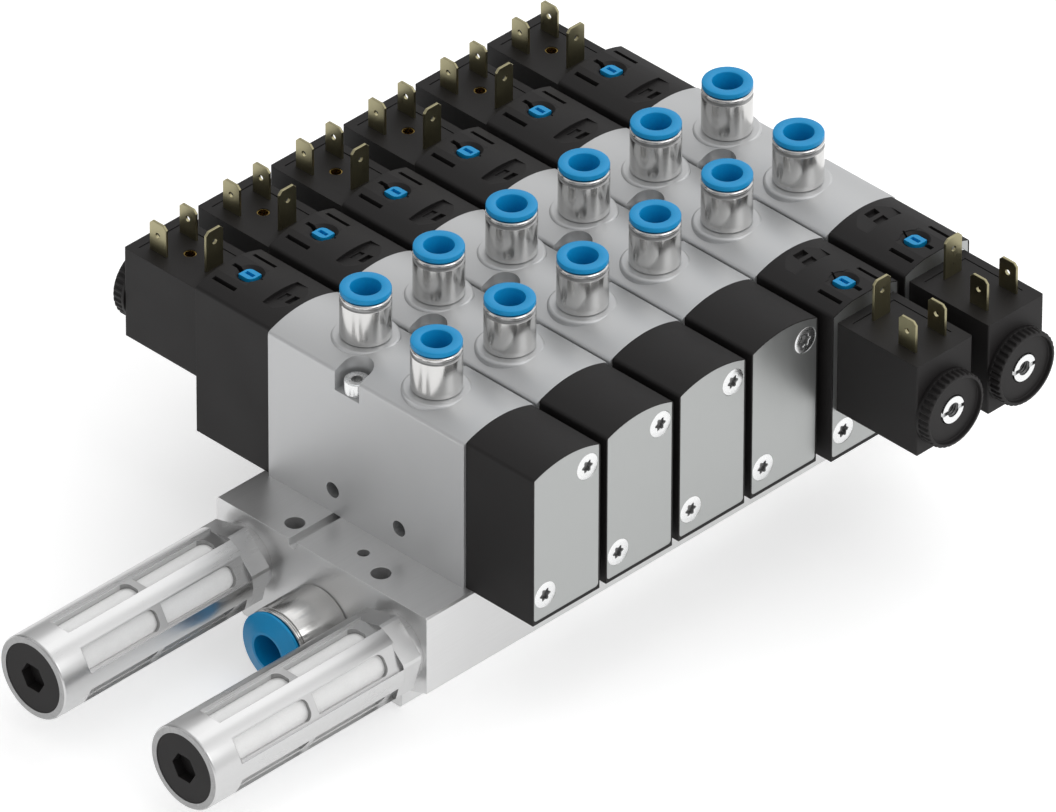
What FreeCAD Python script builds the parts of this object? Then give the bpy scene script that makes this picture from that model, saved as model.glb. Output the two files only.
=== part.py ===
"""Pneumatic valve island: six 5/2-way solenoid valves side by side on one supply and exhaust rail.

The first valves have one pilot and an end cap, the last ones have a pilot at each end. Each valve
has two push-in fittings on top. The rail's near end carries the supply fitting between two exhaust
silencers, and its far end is closed by three plugs.

X runs along the rail, away from the silencers. Y points to the side where every valve has a coil.
Z is up. The origin is the centre of the rail's underside. Lengths are in millimetres.
"""
import FreeCAD, Part
import math
import os

V = FreeCAD.Vector

# Row of valves
VALVE_COUNT = 6
SINGLE_COUNT = 4
PITCH = 27.0
BODY_W = 26.2
BODY_LEN = 72.4
SIDE_H = 45.8
CROWN_RISE = 2.8
SHOULDER_ROUND = 1.2

# Rail
RAIL_W = 78.0
RAIL_H = 33.2
RAIL_END = 29.5
FOOT_W = 60.0
FOOT_H = 6.2
LIP_Z = 9.15
FOOT_CHAMFER = 0.8
RAIL_CHAMFER = 0.5
GROOVE_Y = 10.65
GROOVE_W = 2.9
GROOVE_DEPTH = 2.7
MOUNT_HOLE_D = 5.5
MOUNT_INSET = 6.1
MOUNT_HALF_Y = 16.0
EARTH_HOLE_D = 3.3
EARTH_INSET = 9.3
EARTH_Y = -6.3
EARTH_DEPTH = 8.0

# Air channels in rail and bodies
SUPPLY_Z = 12.6
EXHAUST_Z = 19.8
EXHAUST_EDGE = 10.9
GALLERY_D = 13.5
PORT_THREAD_D = 16.0
PORT_THREAD_LEN = 11.0
PORT_BORE_EXTRA = 2.0
PASSAGE_D = 7.0
PASSAGE_Y = 24.0

# Fixing screws of the valves
SCREW_X = 9.4
SCREW_Y = 6.9
SCREW_D = 3.9
SCREW_BITE = 8.5
SCREW_HEAD_D = 6.9
SCREW_HEAD_H = 4.0
SCREW_HEX = 3.0
SCREW_HEX_DEPTH = 2.0
SCREW_SEAT_DROP = 8.8
POCKET_R = 4.5

# Valve body details
PORT_X = 1.9
PORT_Y = 15.0
BOSS_R = 9.3
BOSS_ROOT = 6.0
BOSS_FILLET = 0.8
PORT_BORE_DEPTH = 11.3
PORT_DRILL_D = 7.0
CROSS_HOLE_D = 4.6
CROSS_HOLE_Y = 12.3
CROSS_HOLE_RISE = 7.2
SPOOL_RISE = 23.8
SPOOL_BORE_D = 12.0
CHAMBER_D = 13.6
CHAMBER_W = 5.0
CHAMBER_STEP = 12.0
GASKET_T = 1.0
GASKET_W = 12.4
GASKET_LEN = 62.0

# Spool and pistons
SPOOL_GAP = 0.08
STEM_D = 7.0
LAND_W = 2.0
SPOOL_STROKE = 3.0
PISTON_BORE_D = 15.0
PISTON_T = 4.5
PISTON_BORE_DEPTH = 9.0
RETURN_BORE_D = 10.2
RETURN_PISTON_T = 5.0
RETURN_BORE_DEPTH = 10.0
END_GAP = 0.3

# Pilot heads and end caps
HEAD_INSET = 0.8
HEAD_LEN = 27.9
CAP_LEN = 24.7
OVERRIDE_OUT = 20.0
WELL_D = 8.2
WELL_FLOOR_D = 5.4
WELL_DISH = 1.3
WELL_DEPTH = 4.4
WELL_CLEAR = 0.3
WELL_NOTCH_W = 1.4
WELL_NOTCH_OUT = 6.2
WELL_MARK_W = 0.6
WELL_MARK_IN = 4.7
SIDE_SLOT_X = 7.4
SIDE_SLOT_OUT = 22.0
SIDE_SLOT_LEN = 8.3
SIDE_SLOT_W = 1.3
SIDE_SLOT_DEPTH = 1.5
TOP_FLAT_HALF_W = 4.6
TOP_FLAT_START = 17.0
VENT_OUT = (3.5, 6.7)
VENT_X = -0.6
VENT_LEN = 4.0
VENT_W = 2.0
VENT_DEPTH = 1.6
RAMP_OUT = 8.8
RAMP_HALF_W = 6.5
RAMP_DEPTH = 0.7
RAMP_LIFT = 0.2

# Override button
BUTTON_W = 4.1
BUTTON_LEN = 4.5
BUTTON_DROP = 0.5
BUTTON_H = 2.3
BUTTON_STEM_D = 3.4
BUTTON_STEM_LEN = 12.0
BUTTON_TRAVEL = 1.4
BUTTON_ROUND = 1.7
BUTTON_SLOT_W = 1.2
BUTTON_SLOT_LEN = 3.0
BUTTON_SLOT_DEPTH = 1.0

# End plates and their screws
PLATE_SIDE = 0.4
PLATE_BOTTOM = 1.0
PLATE_TOP = 0.3
PLATE_ROUND = 1.0
PLATE_T = 1.0
PLATE_RECESS = 1.05
PLATE_SCREW_X = 7.7
PLATE_SCREW_LOW = 7.9
PLATE_SCREW_HIGH = 41.0
PLATE_SCREW_HEAD_D = 7.7
PLATE_SCREW_CONE = 1.9
PLATE_SCREW_D = 3.9
PLATE_SCREW_BITE = 7.0
DRIVE_D = 3.9
DRIVE_DEPTH = 1.3

# Coils, nuts and armatures
COIL_W = 20.8
COIL_LEN = 28.9
COIL_LOW = 15.3
COIL_TOP = 43.7
COIL_AXIS = 26.8
COIL_EDGE = 0.6
LINE_INSET_X = 2.6
LINE_INSET_Y = 2.8
LINE_LEN = 21.0
LINE_W = 0.4
LINE_DEPTH = 0.3
NUT_INSERT_OUT = 14.6
NUT_INSERT_D = 3.5
NUT_INSERT_BORE_D = 2.9
NUT_INSERT_LEN = 6.0
NUT_INSERT_SINK = 0.2
BLADE_W = 6.3
BLADE_T = 0.8
BLADE_ROOT = 3.0
BLADE_HOLE_D = 1.7
BLADE_HOLE_DROP = 3.9
BLADE_CHAMFER = 1.1
PAIR_BLADE_X = 5.5
PAIR_BLADE_OUT = 20.7
PAIR_BLADE_H = 9.4
EARTH_BLADE_OUT = 5.65
EARTH_BLADE_H = 12.3
NUT_D = 21.6
NUT_LEN = 4.3
NUT_TEETH = 36
NUT_TOOTH = 0.45
NUT_BASE = 0.9
NUT_CHAMFER = 0.5
NUT_DISH_D = 19.4
NUT_DISH_IN_D = 18.6
NUT_DISH_DEPTH = 1.2
TUBE_D = 7.9
TUBE_BORE_D = 6.2
TUBE_FLANGE_D = 12.0
TUBE_FLANGE_T = 2.0
TUBE_SHORT = 0.9
TUBE_END_HOLE_D = 4.2
TUBE_END_HOLE_DEPTH = 8.0
TUBE_NOTCH_W = 1.2
TUBE_NOTCH_DEPTH = 0.8
CORE_OUT = 12.0
ARMATURE_D = 6.0
ARMATURE_GAP = 1.4
ARMATURE_LEN = 16.0
ARMATURE_STROKE = 1.0
ARMATURE_SPRING_BORE = 3.8
ARMATURE_SPRING_DEPTH = 6.0
SEAT_BORE_D = 6.4
SEAT_GAP = 0.1
NOZZLE_D = 1.5

# Push-in fittings on the valves
TUBE_SIZE = 8.0
FITTING_D = 13.9
FITTING_H = 13.05
FITTING_STUB_D = 13.0
FITTING_STUB_LEN = 9.9
FITTING_GROOVE_DROP = 1.3
FITTING_GROOVE_W = 0.4
FITTING_GROOVE_DEPTH = 0.4
RING_FLANGE_D = 13.8
RING_FLANGE_T = 1.65
RING_GAP = 0.3
RING_IN = 0.2
RING_OUT = 0.8
RING_WALL = 0.8
BARB_OUT = 0.4
BARB_H = 1.6
LIP_T = 1.6
CAVITY_DEPTH = 9.0
CAVITY_EXTRA = 0.55
TUBE_SEAT_DEPTH = 16.3
TUBE_FIT = 0.1
THROUGH_D = 7.2
SEAL_H = 1.5
SEAL_GAP = 0.6

# Supply fitting on the rail
SUPPLY_TUBE = 10.0
SUPPLY_D = 22.0
SUPPLY_LEN = 16.9
SUPPLY_GROOVE_DROP = 1.0
SUPPLY_GROOVE_W = 0.6
SUPPLY_RING_D = 21.6
SUPPLY_RING_GAP = 0.6
SUPPLY_RING_EDGE = 0.8
SUPPLY_RING_CONE = 1.5
SUPPLY_SEAT_DEPTH = 19.0
SUPPLY_THROUGH_D = 9.0

# Silencers
SILENCER_D = 24.4
SILENCER_LEN = 77.9
COLLAR_D = 19.6
COLLAR_LEN = 2.9
HEX_AF = 21.6
HEX_LEN = 6.5
HEX_TURN = 45.0
SILENCER_BORE_D = 19.0
SILENCER_BORE_START = 10.6
SILENCER_INLET_D = 11.0
FLUTE_COUNT = 6
FLUTE_W = 7.5
FLUTE_FLOOR = 10.6
FLUTE_END = 10.4
FLUTE_RUNOUT = 1.3
WINDOW_W = 6.2
WINDOW_START = 3.9
WINDOW_BRIDGE = 2.3
WINDOW_ROUND = 2.2
FIRST_WINDOW = 25.6
INSERT_CLEAR = 0.1
INSERT_WALL = 3.0
END_PLUG_D = 20.0
END_PLUG_T = 4.0
END_PLUG_SINK = 0.15
END_PLUG_HEX = 7.5
END_PLUG_HEX_DEPTH = 3.0
END_ROUND = 0.7

# Blanking plugs at the rail's far end
PLUG_COLLAR_D = 21.5
PLUG_COLLAR_T = 4.0
PLUG_HEX = 8.0
PLUG_HEX_DEPTH = 6.0
PLUG_CHAMFER = 0.6

# Clearances
CLEAR = 0.1
HOLE_CLEAR = 0.25

# Places that follow from the sizes
RAIL_LEN = (VALVE_COUNT - 1) * PITCH + 2 * RAIL_END
RAIL_X = RAIL_LEN / 2
EXHAUST_Y = RAIL_W / 2 - EXHAUST_EDGE
BODY_Y = BODY_LEN / 2
HALF_W = BODY_W / 2
HEAD_HALF_W = HALF_W - HEAD_INSET
SIDE_Z = RAIL_H + SIDE_H
TOP_Z = SIDE_Z + CROWN_RISE
CROWN_R = (HALF_W ** 2 + CROWN_RISE ** 2) / (2 * CROWN_RISE)
SPOOL_Z = RAIL_H + SPOOL_RISE
COIL_Z = RAIL_H + COIL_AXIS
HEAD_Y = BODY_Y + HEAD_LEN
CAP_Y = BODY_Y + CAP_LEN
COIL_Y = HEAD_Y + COIL_LEN
OVERRIDE_Y = BODY_Y + OVERRIDE_OUT
SCREW_SEAT_Z = TOP_Z - SCREW_SEAT_DROP
VALVE_X = [-RAIL_X + RAIL_END + index * PITCH for index in range(VALVE_COUNT)]
# One pilot per valve on the +Y side, then one more on the -Y side of each double valve.
PILOTS = [(x, 1) for x in VALVE_X] + [(x, -1) for x in VALVE_X[SINGLE_COUNT:]]
CAPS = [(x, -1) for x in VALVE_X[:SINGLE_COUNT]]
WORK_PORTS = [(x + side * PORT_X, side * PORT_Y) for x in VALVE_X for side in (1, -1)]
RAIL_PORTS = [(EXHAUST_Y, EXHAUST_Z), (0.0, SUPPLY_Z), (-EXHAUST_Y, EXHAUST_Z)]


def box(x0, x1, y0, y1, z0, z1):
    """A block between two corners, given in any order."""
    low = V(min(x0, x1), min(y0, y1), min(z0, z1))
    return Part.makeBox(abs(x1 - x0), abs(y1 - y0), abs(z1 - z0), low)


def rod(start, direction, length, diameter):
    """A round bar from a start point along a direction."""
    return Part.makeCylinder(diameter / 2, length, start, direction)


def turned(profile):
    """A turned solid along +Z from (height, radius) corners, listed from the axis back to the axis."""
    corners = [V(radius, 0, height) for height, radius in profile]
    face = Part.Face(Part.makePolygon(corners + corners[:1]))
    return face.revolve(V(0, 0, 0), V(0, 0, 1), 360)


def stand(shape, point, direction):
    """Lay a shape that was made along +Z from the origin along a direction from a point."""
    placed = shape.copy()
    placed.Placement = FreeCAD.Placement(point, FreeCAD.Rotation(V(0, 0, 1), direction))
    return placed


def hexagon(across_flats, height, start=0.0, turn=0.0):
    """A six-sided prism along +Z."""
    radius = across_flats / math.sqrt(3)
    angles = [math.radians(turn + 60 * corner) for corner in range(6)]
    corners = [V(radius * math.cos(a), radius * math.sin(a), start) for a in angles]
    return Part.Face(Part.makePolygon(corners + corners[:1])).extrude(V(0, 0, height))


def crown_z(x):
    """Height of the domed top at a distance from the valve's middle."""
    return TOP_Z - CROWN_R + math.sqrt(CROWN_R ** 2 - x ** 2)


def crowned(half_w, y0, y1, bottom=RAIL_H, lowered=0.0, rounded=0.0):
    """A block with the valves' domed top, about X = 0, between two places along Y."""
    radius = CROWN_R - lowered
    top = TOP_Z - lowered
    shoulder = top - radius + math.sqrt(radius ** 2 - half_w ** 2)
    left, right = V(-half_w, y0, bottom), V(half_w, y0, bottom)
    arc = Part.Arc(V(half_w, y0, shoulder), V(0, y0, top), V(-half_w, y0, shoulder)).toShape()
    sides = [Part.makeLine(left, right), Part.makeLine(right, V(half_w, y0, shoulder)), arc,
             Part.makeLine(V(-half_w, y0, shoulder), left)]
    block = Part.Face(Part.Wire(sides)).extrude(V(0, y1 - y0, 0))
    if not rounded:
        return block
    return round_edges(block, rounded, lambda p: abs(abs(p.x) - half_w) < 0.01 and abs(p.z - shoulder) < 0.01)


def outward(side, x, distance, z):
    """A point on the axis of a pilot: at a distance along Y from the middle, on either side."""
    return V(x, side * distance, z)


def on_side(shape, x, side):
    """Put a shape that was made for the +Y side at X = 0 on either side of a valve."""
    placed = shape if side > 0 else shape.rotated(V(0, 0, 0), V(0, 0, 1), 180)
    return placed.translated(V(x, 0, 0))


def round_edges(shape, radius, wanted):
    """Fillet the edges whose middle point passes a test."""
    edges = [edge for edge in shape.Edges if wanted(edge.CenterOfMass)]
    return shape.makeFillet(radius, edges)


def make_rail():
    """Extruded rail: three galleries, stations for the valves, mounting holes and a top groove."""
    half, foot = RAIL_W / 2, FOOT_W / 2
    right = [(foot - FOOT_CHAMFER, 0), (foot, FOOT_CHAMFER), (foot, FOOT_H), (half, LIP_Z),
             (half, RAIL_H - RAIL_CHAMFER), (half - RAIL_CHAMFER, RAIL_H)]
    outline = right + [(-y, z) for y, z in reversed(right)]
    corners = [V(-RAIL_X, y, z) for y, z in outline]
    rail = Part.Face(Part.makePolygon(corners + corners[:1])).extrude(V(RAIL_LEN, 0, 0))

    cuts = []
    groove_r = GROOVE_W / 2
    groove_floor = RAIL_H - GROOVE_DEPTH
    cuts.append(rod(V(-RAIL_X, GROOVE_Y, groove_floor + groove_r), V(1, 0, 0), RAIL_LEN, GROOVE_W))
    cuts.append(box(-RAIL_X, RAIL_X, GROOVE_Y - groove_r, GROOVE_Y + groove_r,
                    groove_floor + groove_r, RAIL_H))
    for y, z in RAIL_PORTS:
        cuts.append(rod(V(-RAIL_X, y, z), V(1, 0, 0), RAIL_LEN, GALLERY_D))
        for end in (-1, 1):
            depth = PORT_THREAD_LEN + PORT_BORE_EXTRA
            cuts.append(rod(V(end * RAIL_X, y, z), V(-end, 0, 0), depth, PORT_THREAD_D + 2 * CLEAR))
    for x in VALVE_X:
        cuts.append(rod(V(x, 0, SUPPLY_Z), V(0, 0, 1), RAIL_H - SUPPLY_Z, PASSAGE_D))
        for side in (-1, 1):
            cuts.append(rod(V(x, side * PASSAGE_Y, EXHAUST_Z), V(0, 0, 1), RAIL_H - EXHAUST_Z, PASSAGE_D))
            depth = SCREW_BITE + HOLE_CLEAR
            cuts.append(rod(V(x - side * SCREW_X, side * SCREW_Y, RAIL_H), V(0, 0, -1), depth,
                            SCREW_D + CLEAR))
    for end in (-1, 1):
        for side in (-1, 1):
            cuts.append(rod(V(end * (RAIL_X - MOUNT_INSET), side * MOUNT_HALF_Y, 0), V(0, 0, 1),
                            RAIL_H, MOUNT_HOLE_D))
    cuts.append(rod(V(-RAIL_X + EARTH_INSET, EARTH_Y, RAIL_H), V(0, 0, -1), EARTH_DEPTH, EARTH_HOLE_D))
    return rail.cut(cuts).removeSplitter()


def gasket_outline(extra, height):
    """The round-ended plate shape that the gasket and its recess share."""
    width = GASKET_W + 2 * extra
    straight = GASKET_LEN / 2 - GASKET_W / 2
    middle = box(-width / 2, width / 2, -straight, straight, RAIL_H, RAIL_H + height)
    ends = [rod(V(0, side * straight, RAIL_H), V(0, 0, 1), height, width) for side in (-1, 1)]
    return middle.fuse(ends).removeSplitter()


def make_valve_body():
    """Die-cast body about X = 0: spool bore with five chambers, two port bosses, screw pockets."""
    body = crowned(HALF_W, -BODY_Y, BODY_Y, rounded=SHOULDER_ROUND)
    pockets = []
    for side in (-1, 1):
        x, y = -side * SCREW_X, side * SCREW_Y
        height = TOP_Z - SCREW_SEAT_Z
        pockets.append(rod(V(x, y, SCREW_SEAT_Z), V(0, 0, 1), height, 2 * POCKET_R))
        pockets.append(box(x, -side * HALF_W, y - POCKET_R, y + POCKET_R, SCREW_SEAT_Z, TOP_Z))
    body = body.cut(pockets)
    for side in (-1, 1):
        boss = rod(V(side * PORT_X, side * PORT_Y, TOP_Z - BOSS_ROOT), V(0, 0, 1), BOSS_ROOT, 2 * BOSS_R)
        boss = round_edges(boss, BOSS_FILLET, lambda p: p.z > TOP_Z - 0.01)
        body = body.fuse(boss)

    bore_start = V(0, -BODY_Y, SPOOL_Z)
    cuts = [rod(bore_start, V(0, 1, 0), BODY_LEN, SPOOL_BORE_D)]
    for index in range(-2, 3):
        start = V(0, index * CHAMBER_STEP - CHAMBER_W / 2, SPOOL_Z)
        cuts.append(rod(start, V(0, 1, 0), CHAMBER_W, CHAMBER_D))
    for y in (-PASSAGE_Y, 0, PASSAGE_Y):
        cuts.append(rod(V(0, y, RAIL_H), V(0, 0, 1), SPOOL_RISE, PASSAGE_D))
    for side in (-1, 1):
        x, y = side * PORT_X, side * PORT_Y
        cuts.append(rod(V(x, y, TOP_Z), V(0, 0, -1), PORT_BORE_DEPTH, FITTING_STUB_D + 2 * CLEAR))
        cuts.append(rod(V(x, y, TOP_Z), V(0, 0, -1), TOP_Z - SPOOL_Z, PORT_DRILL_D))
        cuts.append(rod(V(-side * SCREW_X, side * SCREW_Y, RAIL_H), V(0, 0, 1), SCREW_SEAT_Z - RAIL_H,
                        SCREW_D + 2 * HOLE_CLEAR))
        cross_z = RAIL_H + CROSS_HOLE_RISE
        cuts.append(rod(V(-HALF_W, side * CROSS_HOLE_Y, cross_z), V(1, 0, 0), BODY_W, CROSS_HOLE_D))
        for x, z in plate_screw_places():
            depth = PLATE_SCREW_BITE + HOLE_CLEAR
            cuts.append(rod(V(side * x, side * BODY_Y, z), V(0, -side, 0), depth, PLATE_SCREW_D + CLEAR))
    cuts.append(gasket_outline(CLEAR, GASKET_T))
    return body.cut(cuts)


def make_gasket():
    """Flat seal in the body's underside, with one hole for each of the three rail passages."""
    plate = gasket_outline(0, GASKET_T)
    holes = [rod(V(0, y, RAIL_H), V(0, 0, 1), GASKET_T, PASSAGE_D) for y in (-PASSAGE_Y, 0, PASSAGE_Y)]
    return plate.cut(holes)


def make_valve_screw():
    """Socket-head screw, made along +Z with its head's underside at zero."""
    shank_len = SCREW_SEAT_Z - RAIL_H + SCREW_BITE
    screw = turned([(-shank_len, 0), (-shank_len, SCREW_D / 2), (0, SCREW_D / 2), (0, SCREW_HEAD_D / 2),
                    (SCREW_HEAD_H, SCREW_HEAD_D / 2), (SCREW_HEAD_H, 0)])
    return screw.cut(hexagon(SCREW_HEX, SCREW_HEX_DEPTH, SCREW_HEAD_H - SCREW_HEX_DEPTH))


def plate_screw_places():
    """The two screws of an end plate sit at opposite corners: (x, z) on the +Y side."""
    return [(PLATE_SCREW_X, RAIL_H + PLATE_SCREW_LOW), (-PLATE_SCREW_X, RAIL_H + PLATE_SCREW_HIGH)]


def plate_screw_space(face_y):
    """The countersunk holes that run from an end plate's face to the valve body."""
    shank_r = PLATE_SCREW_D / 2 + HOLE_CLEAR
    head_r = PLATE_SCREW_HEAD_D / 2 + CLEAR
    length = face_y - BODY_Y
    tool = turned([(0, 0), (0, head_r), (PLATE_SCREW_CONE, shank_r), (length, shank_r), (length, 0)])
    return [stand(tool, V(x, face_y, z), V(0, -1, 0)) for x, z in plate_screw_places()]


def make_plate_screw(face_y):
    """Countersunk screw from the plate's face into the body, made along +Z, head first."""
    length = face_y - BODY_Y + PLATE_SCREW_BITE
    screw = turned([(0, 0), (0, PLATE_SCREW_HEAD_D / 2), (PLATE_SCREW_CONE, PLATE_SCREW_D / 2),
                    (length, PLATE_SCREW_D / 2), (length, 0)])
    return screw.cut(hexagon(DRIVE_D * math.sqrt(3) / 2, DRIVE_DEPTH))


def make_end_plate(outer_y, tube_hole):
    """Sheet-metal plate in its recess. The one under a coil has a hole for the armature tube."""
    face_y = plate_face(outer_y)
    plate = plate_shape(face_y - PLATE_T, face_y, tube_hole)
    cuts = plate_screw_space(face_y)
    if tube_hole:
        cuts.append(rod(V(0, face_y, COIL_Z), V(0, -1, 0), PLATE_T, TUBE_D + 2 * HOLE_CLEAR))
    return plate.cut(cuts)


def plate_face(outer_y):
    """Where an end plate's outer face lies, a little below the rim of its head or cap."""
    return outer_y - PLATE_RECESS + PLATE_T


def plate_shape(y0, y1, flat_top):
    """Outline of an end plate between two places along Y, lowered under the flat on a head's top."""
    half = HEAD_HALF_W - PLATE_SIDE
    low = RAIL_H + PLATE_BOTTOM
    plate = crowned(half, y0, y1, low, PLATE_TOP)
    plate = round_edges(plate, PLATE_ROUND, lambda p: abs(abs(p.x) - half) < 0.01 and abs(p.z - low) < 0.01)
    if flat_top:
        plate = plate.cut(box(-half, half, y0, y1, crown_z(TOP_FLAT_HALF_W) - PLATE_TOP, TOP_Z))
    return plate


def plate_recess(outer_y, flat_top):
    """The shallow recess that holds an end plate."""
    return plate_shape(outer_y - PLATE_RECESS, outer_y + CLEAR, flat_top)


def make_pilot_head():
    """Moulded pilot head on the +Y side at X = 0."""
    head = crowned(HEAD_HALF_W, BODY_Y, HEAD_Y, rounded=SHOULDER_ROUND)
    seat_y = HEAD_Y - PLATE_RECESS
    cuts = [plate_recess(HEAD_Y, True)] + plate_screw_space(plate_face(HEAD_Y))
    cuts.append(rod(V(0, BODY_Y, SPOOL_Z), V(0, 1, 0), PISTON_BORE_DEPTH, PISTON_BORE_D))
    cuts.append(rod(V(0, seat_y, COIL_Z), V(0, -1, 0), TUBE_FLANGE_T, TUBE_FLANGE_D + 2 * CLEAR))
    seat_end = armature_start() - SEAT_GAP
    cuts.append(rod(V(0, seat_y, COIL_Z), V(0, -1, 0), seat_y - seat_end, SEAT_BORE_D))
    cuts.append(rod(V(0, seat_end, COIL_Z), V(0, -1, 0), seat_end - BODY_Y - END_GAP, NOZZLE_D))

    flat_z = crown_z(TOP_FLAT_HALF_W)
    cuts.append(box(-TOP_FLAT_HALF_W, TOP_FLAT_HALF_W, BODY_Y + TOP_FLAT_START, HEAD_Y, flat_z, TOP_Z))
    well_z = TOP_Z - WELL_DEPTH
    dish_z = flat_z - WELL_DISH
    dish = turned([(dish_z, 0), (dish_z, WELL_FLOOR_D / 2), (flat_z, WELL_D / 2), (TOP_Z, WELL_D / 2),
                   (TOP_Z, 0)])
    cuts.append(dish.translated(V(0, OVERRIDE_Y, 0)))
    cuts.append(leaf(WELL_CLEAR, well_z, TOP_Z).translated(V(0, OVERRIDE_Y, 0)))
    cuts.append(box(-WELL_NOTCH_W / 2, WELL_NOTCH_W / 2, OVERRIDE_Y, OVERRIDE_Y + WELL_NOTCH_OUT,
                    well_z, TOP_Z))
    cuts.append(box(-WELL_MARK_W / 2, WELL_MARK_W / 2, OVERRIDE_Y - WELL_MARK_IN, OVERRIDE_Y,
                    well_z, TOP_Z))
    stem_end = TOP_Z - BUTTON_DROP - BUTTON_H - BUTTON_STEM_LEN - BUTTON_TRAVEL - END_GAP
    cuts.append(rod(V(0, OVERRIDE_Y, stem_end), V(0, 0, 1), well_z - stem_end, BUTTON_STEM_D + 2 * CLEAR))
    slot_y = BODY_Y + SIDE_SLOT_OUT
    for side in (-1, 1):
        x = side * SIDE_SLOT_X
        cuts.append(box(x - SIDE_SLOT_W / 2, x + SIDE_SLOT_W / 2, slot_y - SIDE_SLOT_LEN / 2,
                        slot_y + SIDE_SLOT_LEN / 2, crown_z(SIDE_SLOT_X) - SIDE_SLOT_DEPTH, TOP_Z))
    for out in VENT_OUT:
        y = BODY_Y + out
        cuts.append(box(VENT_X - VENT_LEN / 2, VENT_X + VENT_LEN / 2, y - VENT_W / 2, y + VENT_W / 2,
                        TOP_Z - VENT_DEPTH, TOP_Z))
    cuts.append(make_ramp())
    return head.cut(cuts)


def make_ramp():
    """The shallow sunk slope on the head's top, deepest at its step, running out before the body."""
    y0, y1 = BODY_Y, BODY_Y + RAMP_OUT
    step_z = crown_z(RAMP_HALF_W) - RAMP_DEPTH
    start_z = TOP_Z + RAMP_LIFT
    side = [V(-RAMP_HALF_W, y0, start_z), V(-RAMP_HALF_W, y1, step_z), V(-RAMP_HALF_W, y1, start_z)]
    return Part.Face(Part.makePolygon(side + side[:1])).extrude(V(2 * RAMP_HALF_W, 0, 0))


def make_end_cap():
    """Moulded cap, made on the +Y side at X = 0, with the bore of the return piston."""
    cap = crowned(HEAD_HALF_W, BODY_Y, CAP_Y, rounded=SHOULDER_ROUND)
    cuts = [plate_recess(CAP_Y, False)] + plate_screw_space(plate_face(CAP_Y))
    cuts.append(rod(V(0, BODY_Y, SPOOL_Z), V(0, 1, 0), RETURN_BORE_DEPTH, RETURN_BORE_D))
    return cap.cut(cuts)


def leaf(extra, low, top):
    """The leaf shape that a button and its well share: a block with two opposite corners rounded."""
    half_x, half_y = BUTTON_W / 2 + extra, BUTTON_LEN / 2 + extra
    block = box(-half_x, half_x, -half_y, half_y, low, top)
    return round_edges(block, BUTTON_ROUND + extra, lambda p: abs(p.z - (low + top) / 2) < 0.01
                       and p.x * p.y > half_x * half_y * 0.9)


def make_override_button():
    """Push button: a leaf-shaped head with a screwdriver slot, on a stem guided in the well's floor."""
    top = TOP_Z - BUTTON_DROP
    low = top - BUTTON_H
    tongue = leaf(0, low, top)
    stem = rod(V(0, 0, low - BUTTON_STEM_LEN), V(0, 0, 1), BUTTON_STEM_LEN, BUTTON_STEM_D)
    slot = box(-BUTTON_SLOT_W / 2, BUTTON_SLOT_W / 2, -BUTTON_SLOT_LEN / 2, BUTTON_SLOT_LEN / 2,
               top - BUTTON_SLOT_DEPTH, top)
    return tongue.fuse(stem).cut(slot).translated(V(0, OVERRIDE_Y, 0))


def make_spool(double):
    """Spool at the end of its stroke nearest the +Y pilot, with the pistons that move it."""
    land_r = SPOOL_BORE_D / 2 - SPOOL_GAP
    stem_r = STEM_D / 2
    edge = CHAMBER_W / 2
    wall_far = CHAMBER_STEP * 2 - edge
    # Each land closes one wall between chambers in one end position and stands in a chamber in
    # the other. The first and the last seal the bore's ends at all times.
    inner = [-wall_far + END_GAP, -edge + 2 * END_GAP, edge + 2 * END_GAP, wall_far + 2 * END_GAP]
    seal = wall_far + CHAMBER_W + LAND_W
    starts = [-seal - LAND_W] + inner + [seal + SPOOL_STROKE - LAND_W / 2]
    y_top = BODY_Y + PISTON_BORE_DEPTH - END_GAP - PISTON_T
    y_low = -(y_top - SPOOL_STROKE)
    profile = [(y_low, 0), (y_low, stem_r)]
    for start in starts:
        profile += [(start, stem_r), (start, land_r), (start + LAND_W, land_r), (start + LAND_W, stem_r)]
    profile += [(y_top, stem_r), (y_top, 0)]
    base = V(0, 0, SPOOL_Z)
    pieces = [stand(turned(profile), base, V(0, 1, 0))]
    piston_d = PISTON_BORE_D - 2 * CLEAR
    pieces.append(rod(V(0, y_top, SPOOL_Z), V(0, 1, 0), PISTON_T, piston_d))
    if double:
        pieces.append(rod(V(0, y_low, SPOOL_Z), V(0, -1, 0), PISTON_T, piston_d))
    else:
        pieces.append(rod(V(0, y_low, SPOOL_Z), V(0, -1, 0), RETURN_PISTON_T, RETURN_BORE_D - 2 * CLEAR))
    return pieces


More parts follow.
